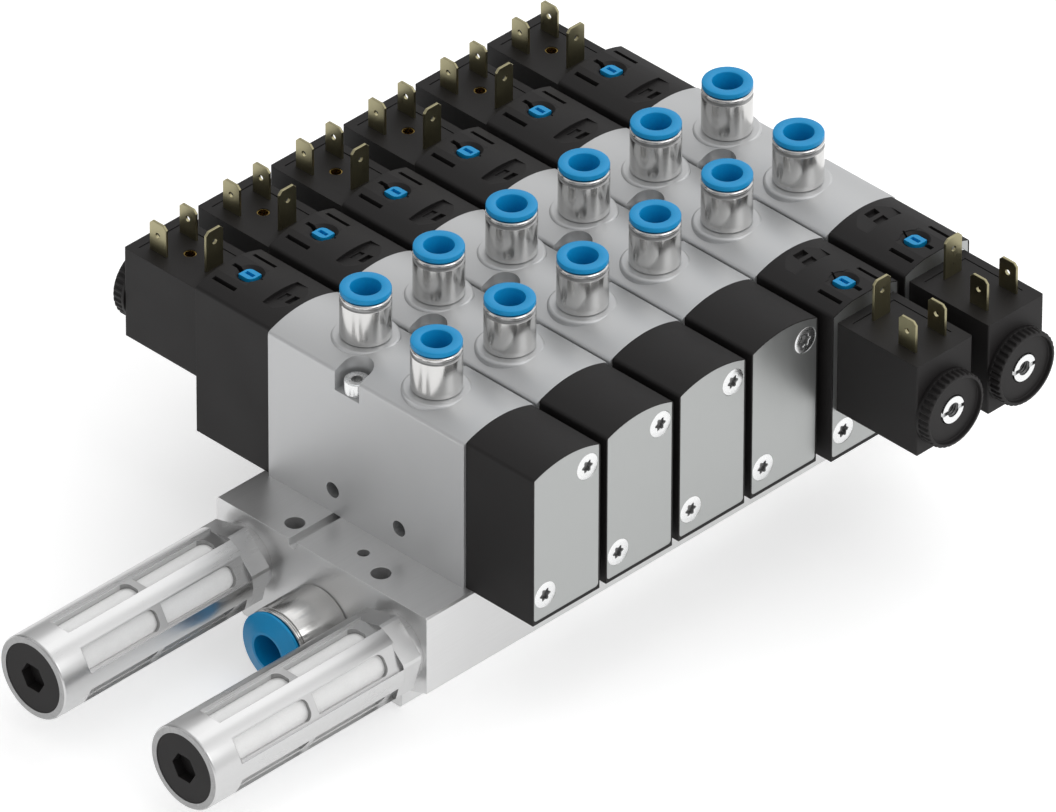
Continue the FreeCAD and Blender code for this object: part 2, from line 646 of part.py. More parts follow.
def make_coil(line_side):
    """Moulded coil on the +Y side at X = 0, with a bore for the armature tube and blade sockets.

    A fine line makes an L on the top. Its corner is at the outer end and +X, or, for a coil that is to
    be turned round, at the end by the head and -X.
    """
    half = COIL_W / 2
    low, top = RAIL_H + COIL_LOW, RAIL_H + COIL_TOP
    coil = box(-half, half, HEAD_Y, COIL_Y, low, top)
    coil = round_edges(coil, COIL_EDGE, lambda p: abs(abs(p.x) - half) < 0.01 and abs(p.z - COIL_Z) < SIDE_H
                       and (abs(p.y - COIL_Y) < 0.01 or abs(p.z - low) < 0.01))
    cuts = [rod(V(0, HEAD_Y, COIL_Z), V(0, 1, 0), COIL_LEN, TUBE_D + 2 * CLEAR)]
    depth = NUT_INSERT_SINK + NUT_INSERT_LEN
    cuts.append(rod(V(0, HEAD_Y + NUT_INSERT_OUT, top), V(0, 0, -1), depth, NUT_INSERT_D))
    line_x = half - LINE_INSET_X
    line_y = COIL_Y - LINE_INSET_Y if line_side > 0 else HEAD_Y + LINE_INSET_Y
    line_z = top - LINE_DEPTH
    cuts.append(box(-line_x, line_x, line_y - line_side * LINE_W, line_y, line_z, top))
    cuts.append(box(line_side * line_x, line_side * (line_x - LINE_W), line_y - line_side * LINE_LEN,
                    line_y, line_z, top))
    cuts += [blade_root(x, out, along) for x, out, along, height in blade_places()]
    return coil.cut(cuts)


def blade_places():
    """The three contact blades: (x, distance from the head, direction of the width, height)."""
    return [(-PAIR_BLADE_X, PAIR_BLADE_OUT, "y", PAIR_BLADE_H),
            (PAIR_BLADE_X, PAIR_BLADE_OUT, "y", PAIR_BLADE_H),
            (0.0, EARTH_BLADE_OUT, "x", EARTH_BLADE_H)]


def blade_root(x, out, along):
    """The part of a blade that is held in the coil."""
    half_x, half_y = (BLADE_T / 2, BLADE_W / 2) if along == "y" else (BLADE_W / 2, BLADE_T / 2)
    y = HEAD_Y + out
    top = RAIL_H + COIL_TOP
    return box(x - half_x, x + half_x, y - half_y, y + half_y, top - BLADE_ROOT, top)


def make_blade(x, out, along, height):
    """Flat contact blade with bevelled corners and a latch hole, on the +Y side at X = 0."""
    half = BLADE_W / 2
    base = RAIL_H + COIL_TOP
    tip = base + height
    low = base - BLADE_ROOT
    outline = [(-half, low), (half, low), (half, tip - BLADE_CHAMFER), (half - BLADE_CHAMFER, tip),
               (-half + BLADE_CHAMFER, tip), (-half, tip - BLADE_CHAMFER)]
    hole_z = tip - BLADE_HOLE_DROP
    y = HEAD_Y + out
    if along == "y":
        corners = [V(x - BLADE_T / 2, y + w, z) for w, z in outline]
        normal = V(1, 0, 0)
        hole = rod(V(x - BLADE_T / 2, y, hole_z), normal, BLADE_T, BLADE_HOLE_D)
    else:
        corners = [V(x + w, y - BLADE_T / 2, z) for w, z in outline]
        normal = V(0, 1, 0)
        hole = rod(V(x, y - BLADE_T / 2, hole_z), normal, BLADE_T, BLADE_HOLE_D)
    blade = Part.Face(Part.makePolygon(corners + corners[:1])).extrude(normal * BLADE_T)
    return blade.cut(hole)


def make_coil_nut():
    """Knurled nut with a smooth rim at its foot and a sunk face, made along +Z from the coil's face."""
    radius = NUT_D / 2
    corners = []
    for index in range(2 * NUT_TEETH):
        r = radius if index % 2 else radius - NUT_TOOTH
        angle = math.pi * index / NUT_TEETH
        corners.append(V(r * math.cos(angle), r * math.sin(angle), 0))
    nut = Part.Face(Part.makePolygon(corners + corners[:1])).extrude(V(0, 0, NUT_LEN))
    blank = turned([(NUT_BASE, 0), (NUT_BASE, radius), (NUT_LEN - NUT_CHAMFER, radius),
                    (NUT_LEN, radius - NUT_CHAMFER), (NUT_LEN, 0)])
    nut = nut.common(blank).fuse(rod(V(0, 0, 0), V(0, 0, 1), NUT_BASE, NUT_D))
    dish = turned([(NUT_LEN - NUT_DISH_DEPTH, 0), (NUT_LEN - NUT_DISH_DEPTH, NUT_DISH_IN_D / 2),
                   (NUT_LEN, NUT_DISH_D / 2), (NUT_LEN, 0)])
    return nut.cut([dish, rod(V(0, 0, 0), V(0, 0, 1), NUT_LEN, TUBE_D + 2 * CLEAR)])


def make_armature_tube():
    """Armature tube with its flange and its fixed core, made along +Z from the flange."""
    start = TUBE_FLANGE_T
    length = COIL_Y + NUT_LEN - TUBE_SHORT - (HEAD_Y - PLATE_RECESS - TUBE_FLANGE_T)
    tube = turned([(0, 0), (0, TUBE_FLANGE_D / 2), (start, TUBE_FLANGE_D / 2), (start, TUBE_D / 2),
                   (length, TUBE_D / 2), (length, 0)])
    cuts = [rod(V(0, 0, 0), V(0, 0, 1), core_height(), TUBE_BORE_D)]
    cuts.append(rod(V(0, 0, length), V(0, 0, -1), TUBE_END_HOLE_DEPTH, TUBE_END_HOLE_D))
    cuts.append(box(-TUBE_D / 2, TUBE_D / 2, -TUBE_NOTCH_W / 2, TUBE_NOTCH_W / 2,
                    length - TUBE_NOTCH_DEPTH, length))
    return tube.cut(cuts)


def core_height():
    """Where the fixed core begins, measured from the armature tube's flange."""
    return TUBE_FLANGE_T + PLATE_RECESS + CORE_OUT


def armature_start():
    """Inner end of the armature at rest, as a distance along Y from the row's middle."""
    flange_y = HEAD_Y - PLATE_RECESS - TUBE_FLANGE_T
    return flange_y + core_height() - ARMATURE_GAP - ARMATURE_LEN


def make_armature():
    """Sliding armature, made along +Z, with a bore for its spring at the core's end."""
    body = rod(V(0, 0, 0), V(0, 0, 1), ARMATURE_LEN, ARMATURE_D)
    return body.cut(rod(V(0, 0, ARMATURE_LEN), V(0, 0, -1), ARMATURE_SPRING_DEPTH, ARMATURE_SPRING_BORE))


def make_nut_insert():
    """Threaded insert for the connector's screw, moulded into a coil on the +Y side at X = 0."""
    top = V(0, HEAD_Y + NUT_INSERT_OUT, RAIL_H + COIL_TOP - NUT_INSERT_SINK)
    insert = rod(top, V(0, 0, -1), NUT_INSERT_LEN, NUT_INSERT_D)
    return insert.cut(rod(top, V(0, 0, -1), NUT_INSERT_LEN, NUT_INSERT_BORE_D))


def make_fitting_body():
    """Plated body of a push-in fitting, made along +Z from the boss that it seats on."""
    outer = FITTING_D / 2
    stub = FITTING_STUB_D / 2
    groove_top = FITTING_H - FITTING_GROOVE_DROP
    groove_low = groove_top - FITTING_GROOVE_W
    groove_r = outer - FITTING_GROOVE_DEPTH
    body = turned([(-FITTING_STUB_LEN, 0), (-FITTING_STUB_LEN, stub), (0, stub), (0, outer),
                   (groove_low, outer), (groove_low, groove_r), (groove_top, groove_r),
                   (groove_top, outer), (FITTING_H, outer), (FITTING_H, 0)])
    sleeve = ring_bore(TUBE_SIZE) + 2 * RING_WALL
    return body.cut(fitting_space(FITTING_H, sleeve, TUBE_SIZE, TUBE_SEAT_DEPTH, THROUGH_D,
                                  FITTING_H + FITTING_STUB_LEN))


def ring_bore(tube):
    """Bore of a release ring for a tube size."""
    return tube + 2 * TUBE_FIT


def fitting_space(top, sleeve, tube, seat_depth, through, total):
    """What is hollow in a push-in fitting: the ring's guide, the cavity, the tube's seat, the way on."""
    cavity_r = sleeve / 2 + CAVITY_EXTRA
    guide_r = sleeve / 2 + CLEAR
    seat_r = ring_bore(tube) / 2
    return turned([(top, 0), (top, guide_r), (top - LIP_T, guide_r), (top - LIP_T, cavity_r),
                   (top - CAVITY_DEPTH, cavity_r), (top - CAVITY_DEPTH, seat_r),
                   (top - seat_depth, seat_r), (top - seat_depth, through / 2),
                   (top - total, through / 2), (top - total, 0)])


def make_seal(top, tube):
    """Tube seal at the foot of a fitting's cavity, made along +Z."""
    sleeve = ring_bore(tube) + 2 * RING_WALL
    base = top - CAVITY_DEPTH
    outer = sleeve / 2 + CAVITY_EXTRA - CLEAR
    inner = ring_bore(tube) / 2
    ring = rod(V(0, 0, base), V(0, 0, 1), SEAL_H, 2 * outer)
    return ring.cut(rod(V(0, 0, base), V(0, 0, 1), SEAL_H, 2 * inner))


def make_release_ring():
    """Release ring of a push-in fitting, made along +Z from the boss under the fitting."""
    low = FITTING_H + RING_GAP
    top = low + RING_FLANGE_T
    flange = RING_FLANGE_D / 2
    return release_ring(low, [(low, flange), (top, flange), (top, 0)], TUBE_SIZE, FITTING_H)


def make_supply_ring():
    """Release ring of the supply fitting, with its coned face, made along +Z from the rail's end."""
    low = SUPPLY_LEN + SUPPLY_RING_GAP
    edge = low + SUPPLY_RING_EDGE
    top = edge + SUPPLY_RING_CONE
    flange = SUPPLY_RING_D / 2
    inner = ring_bore(SUPPLY_TUBE) / 2 + RING_WALL
    face = [(low, flange), (edge, flange), (top, inner), (top, 0)]
    return release_ring(low, face, SUPPLY_TUBE, SUPPLY_LEN)


def release_ring(low, face, tube, fitting_top):
    """A flange on a sleeve whose barb is caught under the fitting's lip."""
    sleeve = ring_bore(tube) / 2 + RING_WALL
    foot = fitting_top - CAVITY_DEPTH + SEAL_H + SEAL_GAP + RING_IN
    barb_top = fitting_top - LIP_T - RING_OUT - CLEAR
    barb_low = barb_top - BARB_H
    profile = [(foot, 0), (foot, sleeve), (barb_low, sleeve), (barb_low, sleeve + BARB_OUT),
               (barb_top, sleeve + BARB_OUT), (barb_top, sleeve), (low, sleeve)] + face
    ring = turned(profile)
    top = face[-1][0]
    return ring.cut(rod(V(0, 0, foot), V(0, 0, 1), top - foot, ring_bore(tube)))


def make_supply_body():
    """Body of the supply fitting, made along +Z outwards from the rail's end."""
    outer = SUPPLY_D / 2
    groove_top = SUPPLY_LEN - SUPPLY_GROOVE_DROP
    groove_low = groove_top - SUPPLY_GROOVE_W
    groove_r = outer - SUPPLY_GROOVE_W
    body = turned([(-PORT_THREAD_LEN, 0), (-PORT_THREAD_LEN, PORT_THREAD_D / 2), (0, PORT_THREAD_D / 2),
                   (0, outer), (groove_low, outer), (groove_low, groove_r), (groove_top, groove_r),
                   (groove_top, outer), (SUPPLY_LEN, outer), (SUPPLY_LEN, 0)])
    sleeve = ring_bore(SUPPLY_TUBE) + 2 * RING_WALL
    return body.cut(fitting_space(SUPPLY_LEN, sleeve, SUPPLY_TUBE, SUPPLY_SEAT_DEPTH, SUPPLY_THROUGH_D,
                                  SUPPLY_LEN + PORT_THREAD_LEN))


def make_silencer_body():
    """Fluted and windowed silencer tube, made along +Z outwards from the rail's end.

    When it is stood on the rail's near end, the first flute, at +X here, points up.
    """
    radius = SILENCER_D / 2
    hex_end = COLLAR_LEN + HEX_LEN
    stub = turned([(-PORT_THREAD_LEN, 0), (-PORT_THREAD_LEN, PORT_THREAD_D / 2), (0, PORT_THREAD_D / 2),
                   (0, COLLAR_D / 2), (COLLAR_LEN, COLLAR_D / 2), (COLLAR_LEN, 0)])
    nut = hexagon(HEX_AF, HEX_LEN, COLLAR_LEN, HEX_TURN)
    nut = nut.common(rod(V(0, 0, COLLAR_LEN), V(0, 0, 1), HEX_LEN, SILENCER_D))
    tube = rod(V(0, 0, hex_end), V(0, 0, 1), SILENCER_LEN - hex_end, SILENCER_D)
    tube = round_edges(tube, END_ROUND, lambda p: p.z > SILENCER_LEN - 0.01)
    body = stub.fuse([nut, tube])

    cuts = [rod(V(0, 0, SILENCER_BORE_START), V(0, 0, 1), SILENCER_LEN, SILENCER_BORE_D)]
    cuts.append(rod(V(0, 0, -PORT_THREAD_LEN), V(0, 0, 1), SILENCER_LEN, SILENCER_INLET_D))
    cuts.append(rod(V(0, 0, SILENCER_LEN - END_PLUG_T - END_PLUG_SINK), V(0, 0, 1), SILENCER_LEN,
                    END_PLUG_D + 2 * CLEAR))
    flute_end = SILENCER_LEN - FLUTE_END
    first = hex_end + WINDOW_START
    second = first + FIRST_WINDOW + WINDOW_BRIDGE
    outside = radius + 1
    runout = flute_end + FLUTE_RUNOUT * (outside - FLUTE_FLOOR) / (radius - FLUTE_FLOOR)
    side = [V(FLUTE_FLOOR, -FLUTE_W / 2, hex_end), V(outside, -FLUTE_W / 2, hex_end),
            V(outside, -FLUTE_W / 2, runout), V(FLUTE_FLOOR, -FLUTE_W / 2, flute_end)]
    flute = Part.Face(Part.makePolygon(side + side[:1])).extrude(V(0, FLUTE_W, 0))
    holes = [flute, window(first, first + FIRST_WINDOW), window(second, flute_end)]
    for index in range(FLUTE_COUNT):
        angle = 360.0 * index / FLUTE_COUNT
        cuts += [hole.rotated(V(0, 0, 0), V(0, 0, 1), angle) for hole in holes]
    return body.cut(cuts)


def window(start, end):
    """A slot through the silencer's wall at the middle of a flute, rounded at the end near the rail."""
    slot = box(SILENCER_BORE_D / 2 - 1, FLUTE_FLOOR + 1, -WINDOW_W / 2, WINDOW_W / 2, start, end)
    return round_edges(slot, WINDOW_ROUND, lambda p: abs(abs(p.y) - WINDOW_W / 2) < 0.01
                       and abs(p.z - start) < 0.01)


def make_silencer_insert():
    """Porous sleeve between the silencer's inner shoulder and its end plug."""
    top = SILENCER_LEN - END_PLUG_T - END_PLUG_SINK
    outer = SILENCER_BORE_D - 2 * INSERT_CLEAR
    sleeve = rod(V(0, 0, SILENCER_BORE_START), V(0, 0, 1), top - SILENCER_BORE_START, outer)
    return sleeve.cut(rod(V(0, 0, SILENCER_BORE_START), V(0, 0, 1), top, outer - 2 * INSERT_WALL))


def make_end_plug():
    """Round plug with a hexagon socket that closes a silencer."""
    top = SILENCER_LEN - END_PLUG_SINK
    plug = rod(V(0, 0, top - END_PLUG_T), V(0, 0, 1), END_PLUG_T, END_PLUG_D)
    socket = hexagon(END_PLUG_HEX, END_PLUG_HEX_DEPTH, top - END_PLUG_HEX_DEPTH, 30)
    return plug.cut(socket)


def make_port_plug():
    """Blanking plug with a collar and a hexagon socket, made along +Z outwards from the rail's end."""
    collar = PLUG_COLLAR_D / 2
    plug = turned([(-PORT_THREAD_LEN, 0), (-PORT_THREAD_LEN, PORT_THREAD_D / 2), (0, PORT_THREAD_D / 2),
                   (0, collar), (PLUG_COLLAR_T - PLUG_CHAMFER, collar),
                   (PLUG_COLLAR_T, collar - PLUG_CHAMFER), (PLUG_COLLAR_T, 0)])
    return plug.cut(hexagon(PLUG_HEX, PLUG_HEX_DEPTH, PLUG_COLLAR_T - PLUG_HEX_DEPTH))


def make_nodes():
    """Every named piece, or group of like pieces, as a list of solids."""
    nodes = {"manifold_rail": [make_rail()]}
    body = make_valve_body()
    for index, x in enumerate(VALVE_X):
        nodes["valve_body_%d" % (index + 1)] = [body.translated(V(x, 0, 0))]
    gasket, screw = make_gasket(), make_valve_screw()
    nodes["valve_gaskets"] = [gasket.translated(V(x, 0, 0)) for x in VALVE_X]
    nodes["valve_screws"] = [screw.translated(V(x - side * SCREW_X, side * SCREW_Y, SCREW_SEAT_Z))
                             for x in VALVE_X for side in (1, -1)]

    head, cap = make_pilot_head(), make_end_cap()
    nodes["pilot_heads"] = [on_side(head, x, side) for x, side in PILOTS]
    nodes["end_caps"] = [on_side(cap, x, side) for x, side in CAPS]
    head_plate, cap_plate = make_end_plate(HEAD_Y, True), make_end_plate(CAP_Y, False)
    nodes["end_plates"] = ([on_side(head_plate, x, side) for x, side in PILOTS]
                           + [on_side(cap_plate, x, side) for x, side in CAPS])
    nodes["plate_screws"] = []
    for places, outer_y in ((PILOTS, HEAD_Y), (CAPS, CAP_Y)):
        face_y = plate_face(outer_y)
        plate_screw = make_plate_screw(face_y)
        for x, side in places:
            for offset, z in plate_screw_places():
                point = outward(side, x + side * offset, face_y, z)
                nodes["plate_screws"].append(stand(plate_screw, point, V(0, -side, 0)))

    nut, tube, insert = make_coil_nut(), make_armature_tube(), make_nut_insert()
    armature, button = make_armature(), make_override_button()
    flange_y = HEAD_Y - PLATE_RECESS - TUBE_FLANGE_T
    coils = {side: make_coil(side) for side in (1, -1)}
    nodes["coils"] = [on_side(coils[side], x, side) for x, side in PILOTS]
    nodes["coil_nuts"] = [stand(nut, outward(s, x, COIL_Y, COIL_Z), V(0, s, 0)) for x, s in PILOTS]
    nodes["armature_tubes"] = [stand(tube, outward(s, x, flange_y, COIL_Z), V(0, s, 0)) for x, s in PILOTS]
    nodes["coil_inserts"] = [on_side(insert, x, side) for x, side in PILOTS]
    blades = [make_blade(*place) for place in blade_places()]
    nodes["contact_blades"] = [on_side(blade, x, side) for x, side in PILOTS for blade in blades]
    for index, (x, side) in enumerate(PILOTS):
        point = outward(side, x, armature_start(), COIL_Z)
        nodes["armature_%d" % (index + 1)] = [stand(armature, point, V(0, side, 0))]
        nodes["override_button_%d" % (index + 1)] = [on_side(button, x, side)]
    for index, x in enumerate(VALVE_X):
        pieces = make_spool(index >= SINGLE_COUNT)
        nodes["spool_%d" % (index + 1)] = [piece.translated(V(x, 0, 0)) for piece in pieces]

    fitting, ring, seal = make_fitting_body(), make_release_ring(), make_seal(FITTING_H, TUBE_SIZE)
    tops = [V(x, y, TOP_Z) for x, y in WORK_PORTS]
    nodes["fitting_bodies"] = [fitting.translated(point) for point in tops]
    for index, point in enumerate(tops):
        nodes["release_ring_%d" % (index + 1)] = [ring.translated(point)]
    near, far = V(-1, 0, 0), V(1, 0, 0)
    supply_point = V(-RAIL_X, 0, SUPPLY_Z)
    nodes["supply_fitting_body"] = [stand(make_supply_body(), supply_point, near)]
    nodes["supply_release_ring"] = [stand(make_supply_ring(), supply_point, near)]
    nodes["tube_seals"] = [seal.translated(point) for point in tops]
    nodes["tube_seals"].append(stand(make_seal(SUPPLY_LEN, SUPPLY_TUBE), supply_point, near))

    exhausts = [V(-RAIL_X, side * EXHAUST_Y, EXHAUST_Z) for side in (1, -1)]
    silencer, sleeve, end_plug = make_silencer_body(), make_silencer_insert(), make_end_plug()
    nodes["silencer_bodies"] = [stand(silencer, point, near) for point in exhausts]
    nodes["silencer_inserts"] = [stand(sleeve, point, near) for point in exhausts]
    nodes["silencer_end_plugs"] = [stand(end_plug, point, near) for point in exhausts]
    plug = make_port_plug()
    nodes["port_plugs"] = [stand(plug, V(RAIL_X, y, z), far) for y, z in RAIL_PORTS]
    return nodes


def write_nodes(nodes):
    """Write each node as one file of solids in parts/."""
    os.makedirs("parts", exist_ok=True)
    for name, shapes in nodes.items():
        solids = [solid for shape in shapes for solid in shape.Solids]
        shape = solids[0] if len(solids) == 1 else Part.makeCompound(solids)
        shape.exportStep(os.path.join("parts", name + ".step"))


write_nodes(make_nodes())
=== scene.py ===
"""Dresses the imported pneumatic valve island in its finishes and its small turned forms."""
import math

import bmesh
import bpy
from bpy.props import FloatProperty, FloatVectorProperty, IntProperty, PointerProperty
from mathutils import Matrix, Vector


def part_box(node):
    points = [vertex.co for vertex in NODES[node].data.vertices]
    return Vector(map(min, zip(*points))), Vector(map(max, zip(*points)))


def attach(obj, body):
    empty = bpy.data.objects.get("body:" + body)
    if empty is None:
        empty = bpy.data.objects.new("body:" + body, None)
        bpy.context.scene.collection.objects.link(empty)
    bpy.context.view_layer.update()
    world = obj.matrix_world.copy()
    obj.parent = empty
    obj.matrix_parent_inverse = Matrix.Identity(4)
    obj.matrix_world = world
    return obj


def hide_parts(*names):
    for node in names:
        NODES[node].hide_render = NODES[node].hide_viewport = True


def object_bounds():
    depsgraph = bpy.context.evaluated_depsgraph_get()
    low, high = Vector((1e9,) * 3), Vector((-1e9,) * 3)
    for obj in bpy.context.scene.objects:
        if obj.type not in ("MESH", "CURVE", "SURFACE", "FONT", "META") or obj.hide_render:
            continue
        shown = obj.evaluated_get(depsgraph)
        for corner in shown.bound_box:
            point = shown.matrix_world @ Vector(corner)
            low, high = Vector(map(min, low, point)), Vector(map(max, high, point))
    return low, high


bl_info = {
    "name": "Valve island dressing",
    "version": (1, 0, 0),
    "blender": (4, 5, 0),
    "location": "3D View > Sidebar > Valve island",
    "description": "Finishes, turned parts and a studio for a pneumatic valve island",
    "category": "Object",
}

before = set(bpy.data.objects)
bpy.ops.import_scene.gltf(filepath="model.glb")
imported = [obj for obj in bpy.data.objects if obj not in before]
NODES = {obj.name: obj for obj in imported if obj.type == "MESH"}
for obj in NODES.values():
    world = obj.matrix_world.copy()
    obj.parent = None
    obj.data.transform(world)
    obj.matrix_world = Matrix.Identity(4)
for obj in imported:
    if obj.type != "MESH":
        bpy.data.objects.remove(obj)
CAD_BOX = [list(corner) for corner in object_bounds()]
ISLAND = "island"
MM = 0.001
UP = Vector((0, 0, 1))
NOTHING = 1e-6      # millimetres; a profile's side that is shorter has no length
WELD = 2e-6         # metres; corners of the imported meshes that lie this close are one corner
NOISE_LOW, NOISE_HIGH = 0.3, 0.7    # nearly all of a noise texture's values lie between these
TURNED_STEPS = 72   # sides round a turned part


def node_mm(node, corner, axis):
    """One coordinate of a node's box at rest, in millimetres. Corner 0 is lowest, 1 highest."""
    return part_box(node)[corner][axis] / MM


def count_nodes(stem):
    """How many nodes are numbered under one name."""
    start = stem + "_"
    return sum(1 for name in NODES if name.startswith(start) and name[len(start):].isdigit())


def middle_x(node):
    """Middle of a node along the rail, in millimetres."""
    return (node_mm(node, 0, 0) + node_mm(node, 1, 0)) / 2


VALVES = count_nodes("valve_body")
PILOTS = count_nodes("override_button")
RINGS = count_nodes("release_ring")
PITCH = middle_x("valve_body_2") - middle_x("valve_body_1")
FIRST_X = middle_x("valve_body_1")
RAIL_NEAR = node_mm("manifold_rail", 0, 0)
BODY_TOP = node_mm("valve_body_1", 1, 2)
COIL_FACE = node_mm("coils", 1, 1)
COIL_AXIS = (node_mm("coil_nuts", 0, 2) + node_mm("coil_nuts", 1, 2)) / 2
RING_TOP = node_mm("release_ring_1", 1, 2)
FITTING_TOP = node_mm("fitting_bodies", 1, 2)
SUPPLY_Z = (node_mm("supply_fitting_body", 0, 2) + node_mm("supply_fitting_body", 1, 2)) / 2


def length(name, description, millimetres):
    """A size that a user can change, shown as a length."""
    return FloatProperty(name=name, description=description, default=millimetres * MM,
                         unit="LENGTH", precision=5)


def colour(name, description, red, green, blue):
    """A colour that a user can change."""
    return FloatVectorProperty(name=name, description=description,
                               default=(red, green, blue), subtype="COLOR", min=0.0, max=1.0)


class IslandSizes(bpy.types.PropertyGroup):
    """Sizes of the small forms that dress the island."""
    fitting_radius: length("Fitting radius", "Outer radius of a push-in fitting's body", 6.95)
    fitting_groove: length("Fitting groove", "Depth of the groove below the fitting's rim", 0.45)
    ring_radius: length("Ring radius", "Outer radius of a release ring's flange", 6.9)
    ring_bore: length("Ring bore", "Radius of a release ring's tube hole", 4.1)
    ring_round: length("Ring edge", "Rounding of a release ring's rim", 0.45)
    supply_radius: length("Supply fitting radius", "Outer radius of the supply fitting", 11.0)
    supply_ring_bore: length("Supply ring bore", "Radius of the supply ring's tube hole", 5.1)
    nut_radius: length("Nut radius", "Radius over the knurl of a coil nut", 10.8)
    nut_dish: length("Nut dish", "Depth of the dish in a coil nut's face", 1.2)
    nut_lip: length("Nut lip", "Width of the raised lip round a coil nut's face", 0.55)
    knurl_depth: length("Knurl depth", "Depth of the grooves round a coil nut", 0.45)
    knurl_count: IntProperty(name="Knurl grooves", description="Grooves round a coil nut",
                             default=36, min=12)
    screw_head: length("Cap screw head", "Radius of a valve screw's head", 3.45)
    screw_socket: length("Cap screw socket", "Width across flats of a valve screw's socket", 2.6)
    plate_screw_head: length("Plate screw head", "Radius of a plate screw's head", 3.85)
    plate_screw_drive: length("Plate screw drive", "Outer radius of the six-lobed recess", 1.95)
    blade_edge: length("Blade edge", "Bevel along the edges of the contact blades", 0.12)
    screw_head_height: length("Cap screw head height", "Height of a valve screw's head", 4.0)
    soft_cast: length("Cast edge", "Rounding of the castings' edges", 0.15)
    soft_edge: length("Other edges", "Rounding of moulded, sheet and turned edges", 0.22)


class IslandColours(bpy.types.PropertyGroup):
    """Colours of the island's finishes."""
    cast: colour("Cast bodies", "Fine-blasted die-cast aluminium", 0.56, 0.565, 0.57)
    rail: colour("Rail", "Extruded and anodised aluminium", 0.73, 0.73, 0.73)
    black: colour("Black plastic", "Moulding of heads, caps and coils", 0.0125, 0.0112, 0.0112)
    plate: colour("End plates", "Brushed stainless sheet", 0.42, 0.43, 0.425)
    screw: colour("Screws", "Zinc-plated steel", 0.80, 0.805, 0.805)
    plated: colour("Plated fittings", "Nickel-plated brass", 0.64, 0.635, 0.625)
    silencer: colour("Silencers", "Satin nickel-plated tube", 0.60, 0.60, 0.60)
    blade: colour("Contact blades", "Tinned brass", 0.36, 0.33, 0.20)
    brass: colour("Inserts", "Bare brass", 0.62, 0.44, 0.16)
    blue: colour("Release rings", "Blue acetal", 0.003, 0.290, 0.610)
    porous: colour("Silencer inserts", "White sintered plastic", 0.90, 0.90, 0.895)
    rubber: colour("Seals", "Black nitrile rubber", 0.018, 0.018, 0.018)
    # Painted shade: a darker steel grey that stands in for the shade inside screw recesses,
    # grooves, threads and on the silencers' window walls and turned ends.
    recess: colour("Screw recesses", "Shaded steel in recesses and grooves", 0.34, 0.34, 0.34)


class IslandStudio(bpy.types.PropertyGroup):
    """Camera and light of the studio."""
    camera_place: FloatVectorProperty(name="Camera place", description="Where the camera stands",
                                      default=(-3.0141, -2.9656, 3.0106),
                                      subtype="TRANSLATION", unit="LENGTH")
    heading: FloatProperty(name="Heading", description="Way that the camera looks, from +X",
                           default=math.radians(44.73), subtype="ANGLE")
    tilt: FloatProperty(name="Tilt", description="How far the camera looks down",
                        default=math.radians(35.15), subtype="ANGLE")
    roll: FloatProperty(name="Roll", description="Turn of the camera about its own axis",
                        default=math.radians(0.181), subtype="ANGLE")
    focal: FloatProperty(name="Focal length", description="Focal length for a 36 mm wide sensor",
                         default=667.4, subtype="DISTANCE_CAMERA")
    sky_low: FloatProperty(name="Sky, dark side", default=0.36,
                           description="Strength of the soft light at its darkest")
    sky_high: FloatProperty(name="Sky, bright side", default=1.10,
                            description="Strength of the soft light at its brightest")
    sky_from: FloatVectorProperty(name="Sky direction", default=(0.60, -0.45, 0.66),
                                  description="Where the soft light is brightest",
                                  subtype="DIRECTION")
    key: FloatProperty(name="Key", description="Power of the large lamp in front", default=6.2)
    top: FloatProperty(name="Top", description="Power of the large lamp above", default=4.0)
    side: FloatProperty(name="Side", default=1.5,
                        description="Power of the lamp on the silencers' side")
    floor: colour("Floor", "Colour of the floor", 0.86, 0.86, 0.86)
    floor_glow: FloatProperty(name="Floor glow", default=0.42,
                              description="Brightness added to the floor where it is only seen")


def sizes():
    return bpy.context.scene.island_sizes


def colours():
    return bpy.context.scene.island_colours


def studio():
    return bpy.context.scene.island_studio


def new_material(name):
    """A material with an empty node tree and a principled shader on its output."""
    material = bpy.data.materials.new(name)
    material.use_nodes = True
    tree = material.node_tree
    tree.nodes.clear()
    output = tree.nodes.new("ShaderNodeOutputMaterial")
    shader = tree.nodes.new("ShaderNodeBsdfPrincipled")
    tree.links.new(shader.outputs["BSDF"], output.inputs["Surface"])
    return material, tree, shader


def grain(tree, per_millimetre, stretch, detail=3.0, distortion=0.0):
    """Noise in the object's own coordinates. Stretch lengthens it on each axis."""
    place = tree.nodes.new("ShaderNodeTexCoord")
    mapping = tree.nodes.new("ShaderNodeMapping")
    noise = tree.nodes.new("ShaderNodeTexNoise")
    mapping.inputs["Scale"].default_value = [per_millimetre / MM / factor for factor in stretch]
    noise.inputs["Scale"].default_value = 1.0
    noise.inputs["Detail"].default_value = detail
    noise.inputs["Distortion"].default_value = distortion
    tree.links.new(place.outputs["Object"], mapping.inputs["Vector"])
    tree.links.new(mapping.outputs["Vector"], noise.inputs["Vector"])
    return noise.outputs["Fac"]


def spread(tree, value, low, high):
    """Map a noise, which stays near its middle, to a range."""
    node = tree.nodes.new("ShaderNodeMapRange")
    node.inputs["From Min"].default_value = NOISE_LOW
    node.inputs["From Max"].default_value = NOISE_HIGH
    node.inputs["To Min"].default_value = low
    node.inputs["To Max"].default_value = high
    tree.links.new(value, node.inputs["Value"])
    return node.outputs["Result"]


def toned(tree, value, base, change):
    """A base colour that a noise darkens and lightens by a small share."""
    ramp = tree.nodes.new("ShaderNodeValToRGB")
    dark, light = ramp.color_ramp.elements
    dark.position = NOISE_LOW
    light.position = NOISE_HIGH
    dark.color = [part * (1 - change) for part in base] + [1]
    light.color = [min(1, part * (1 + change)) for part in base] + [1]
    tree.links.new(value, ramp.inputs["Fac"])
    return ramp.outputs["Color"]


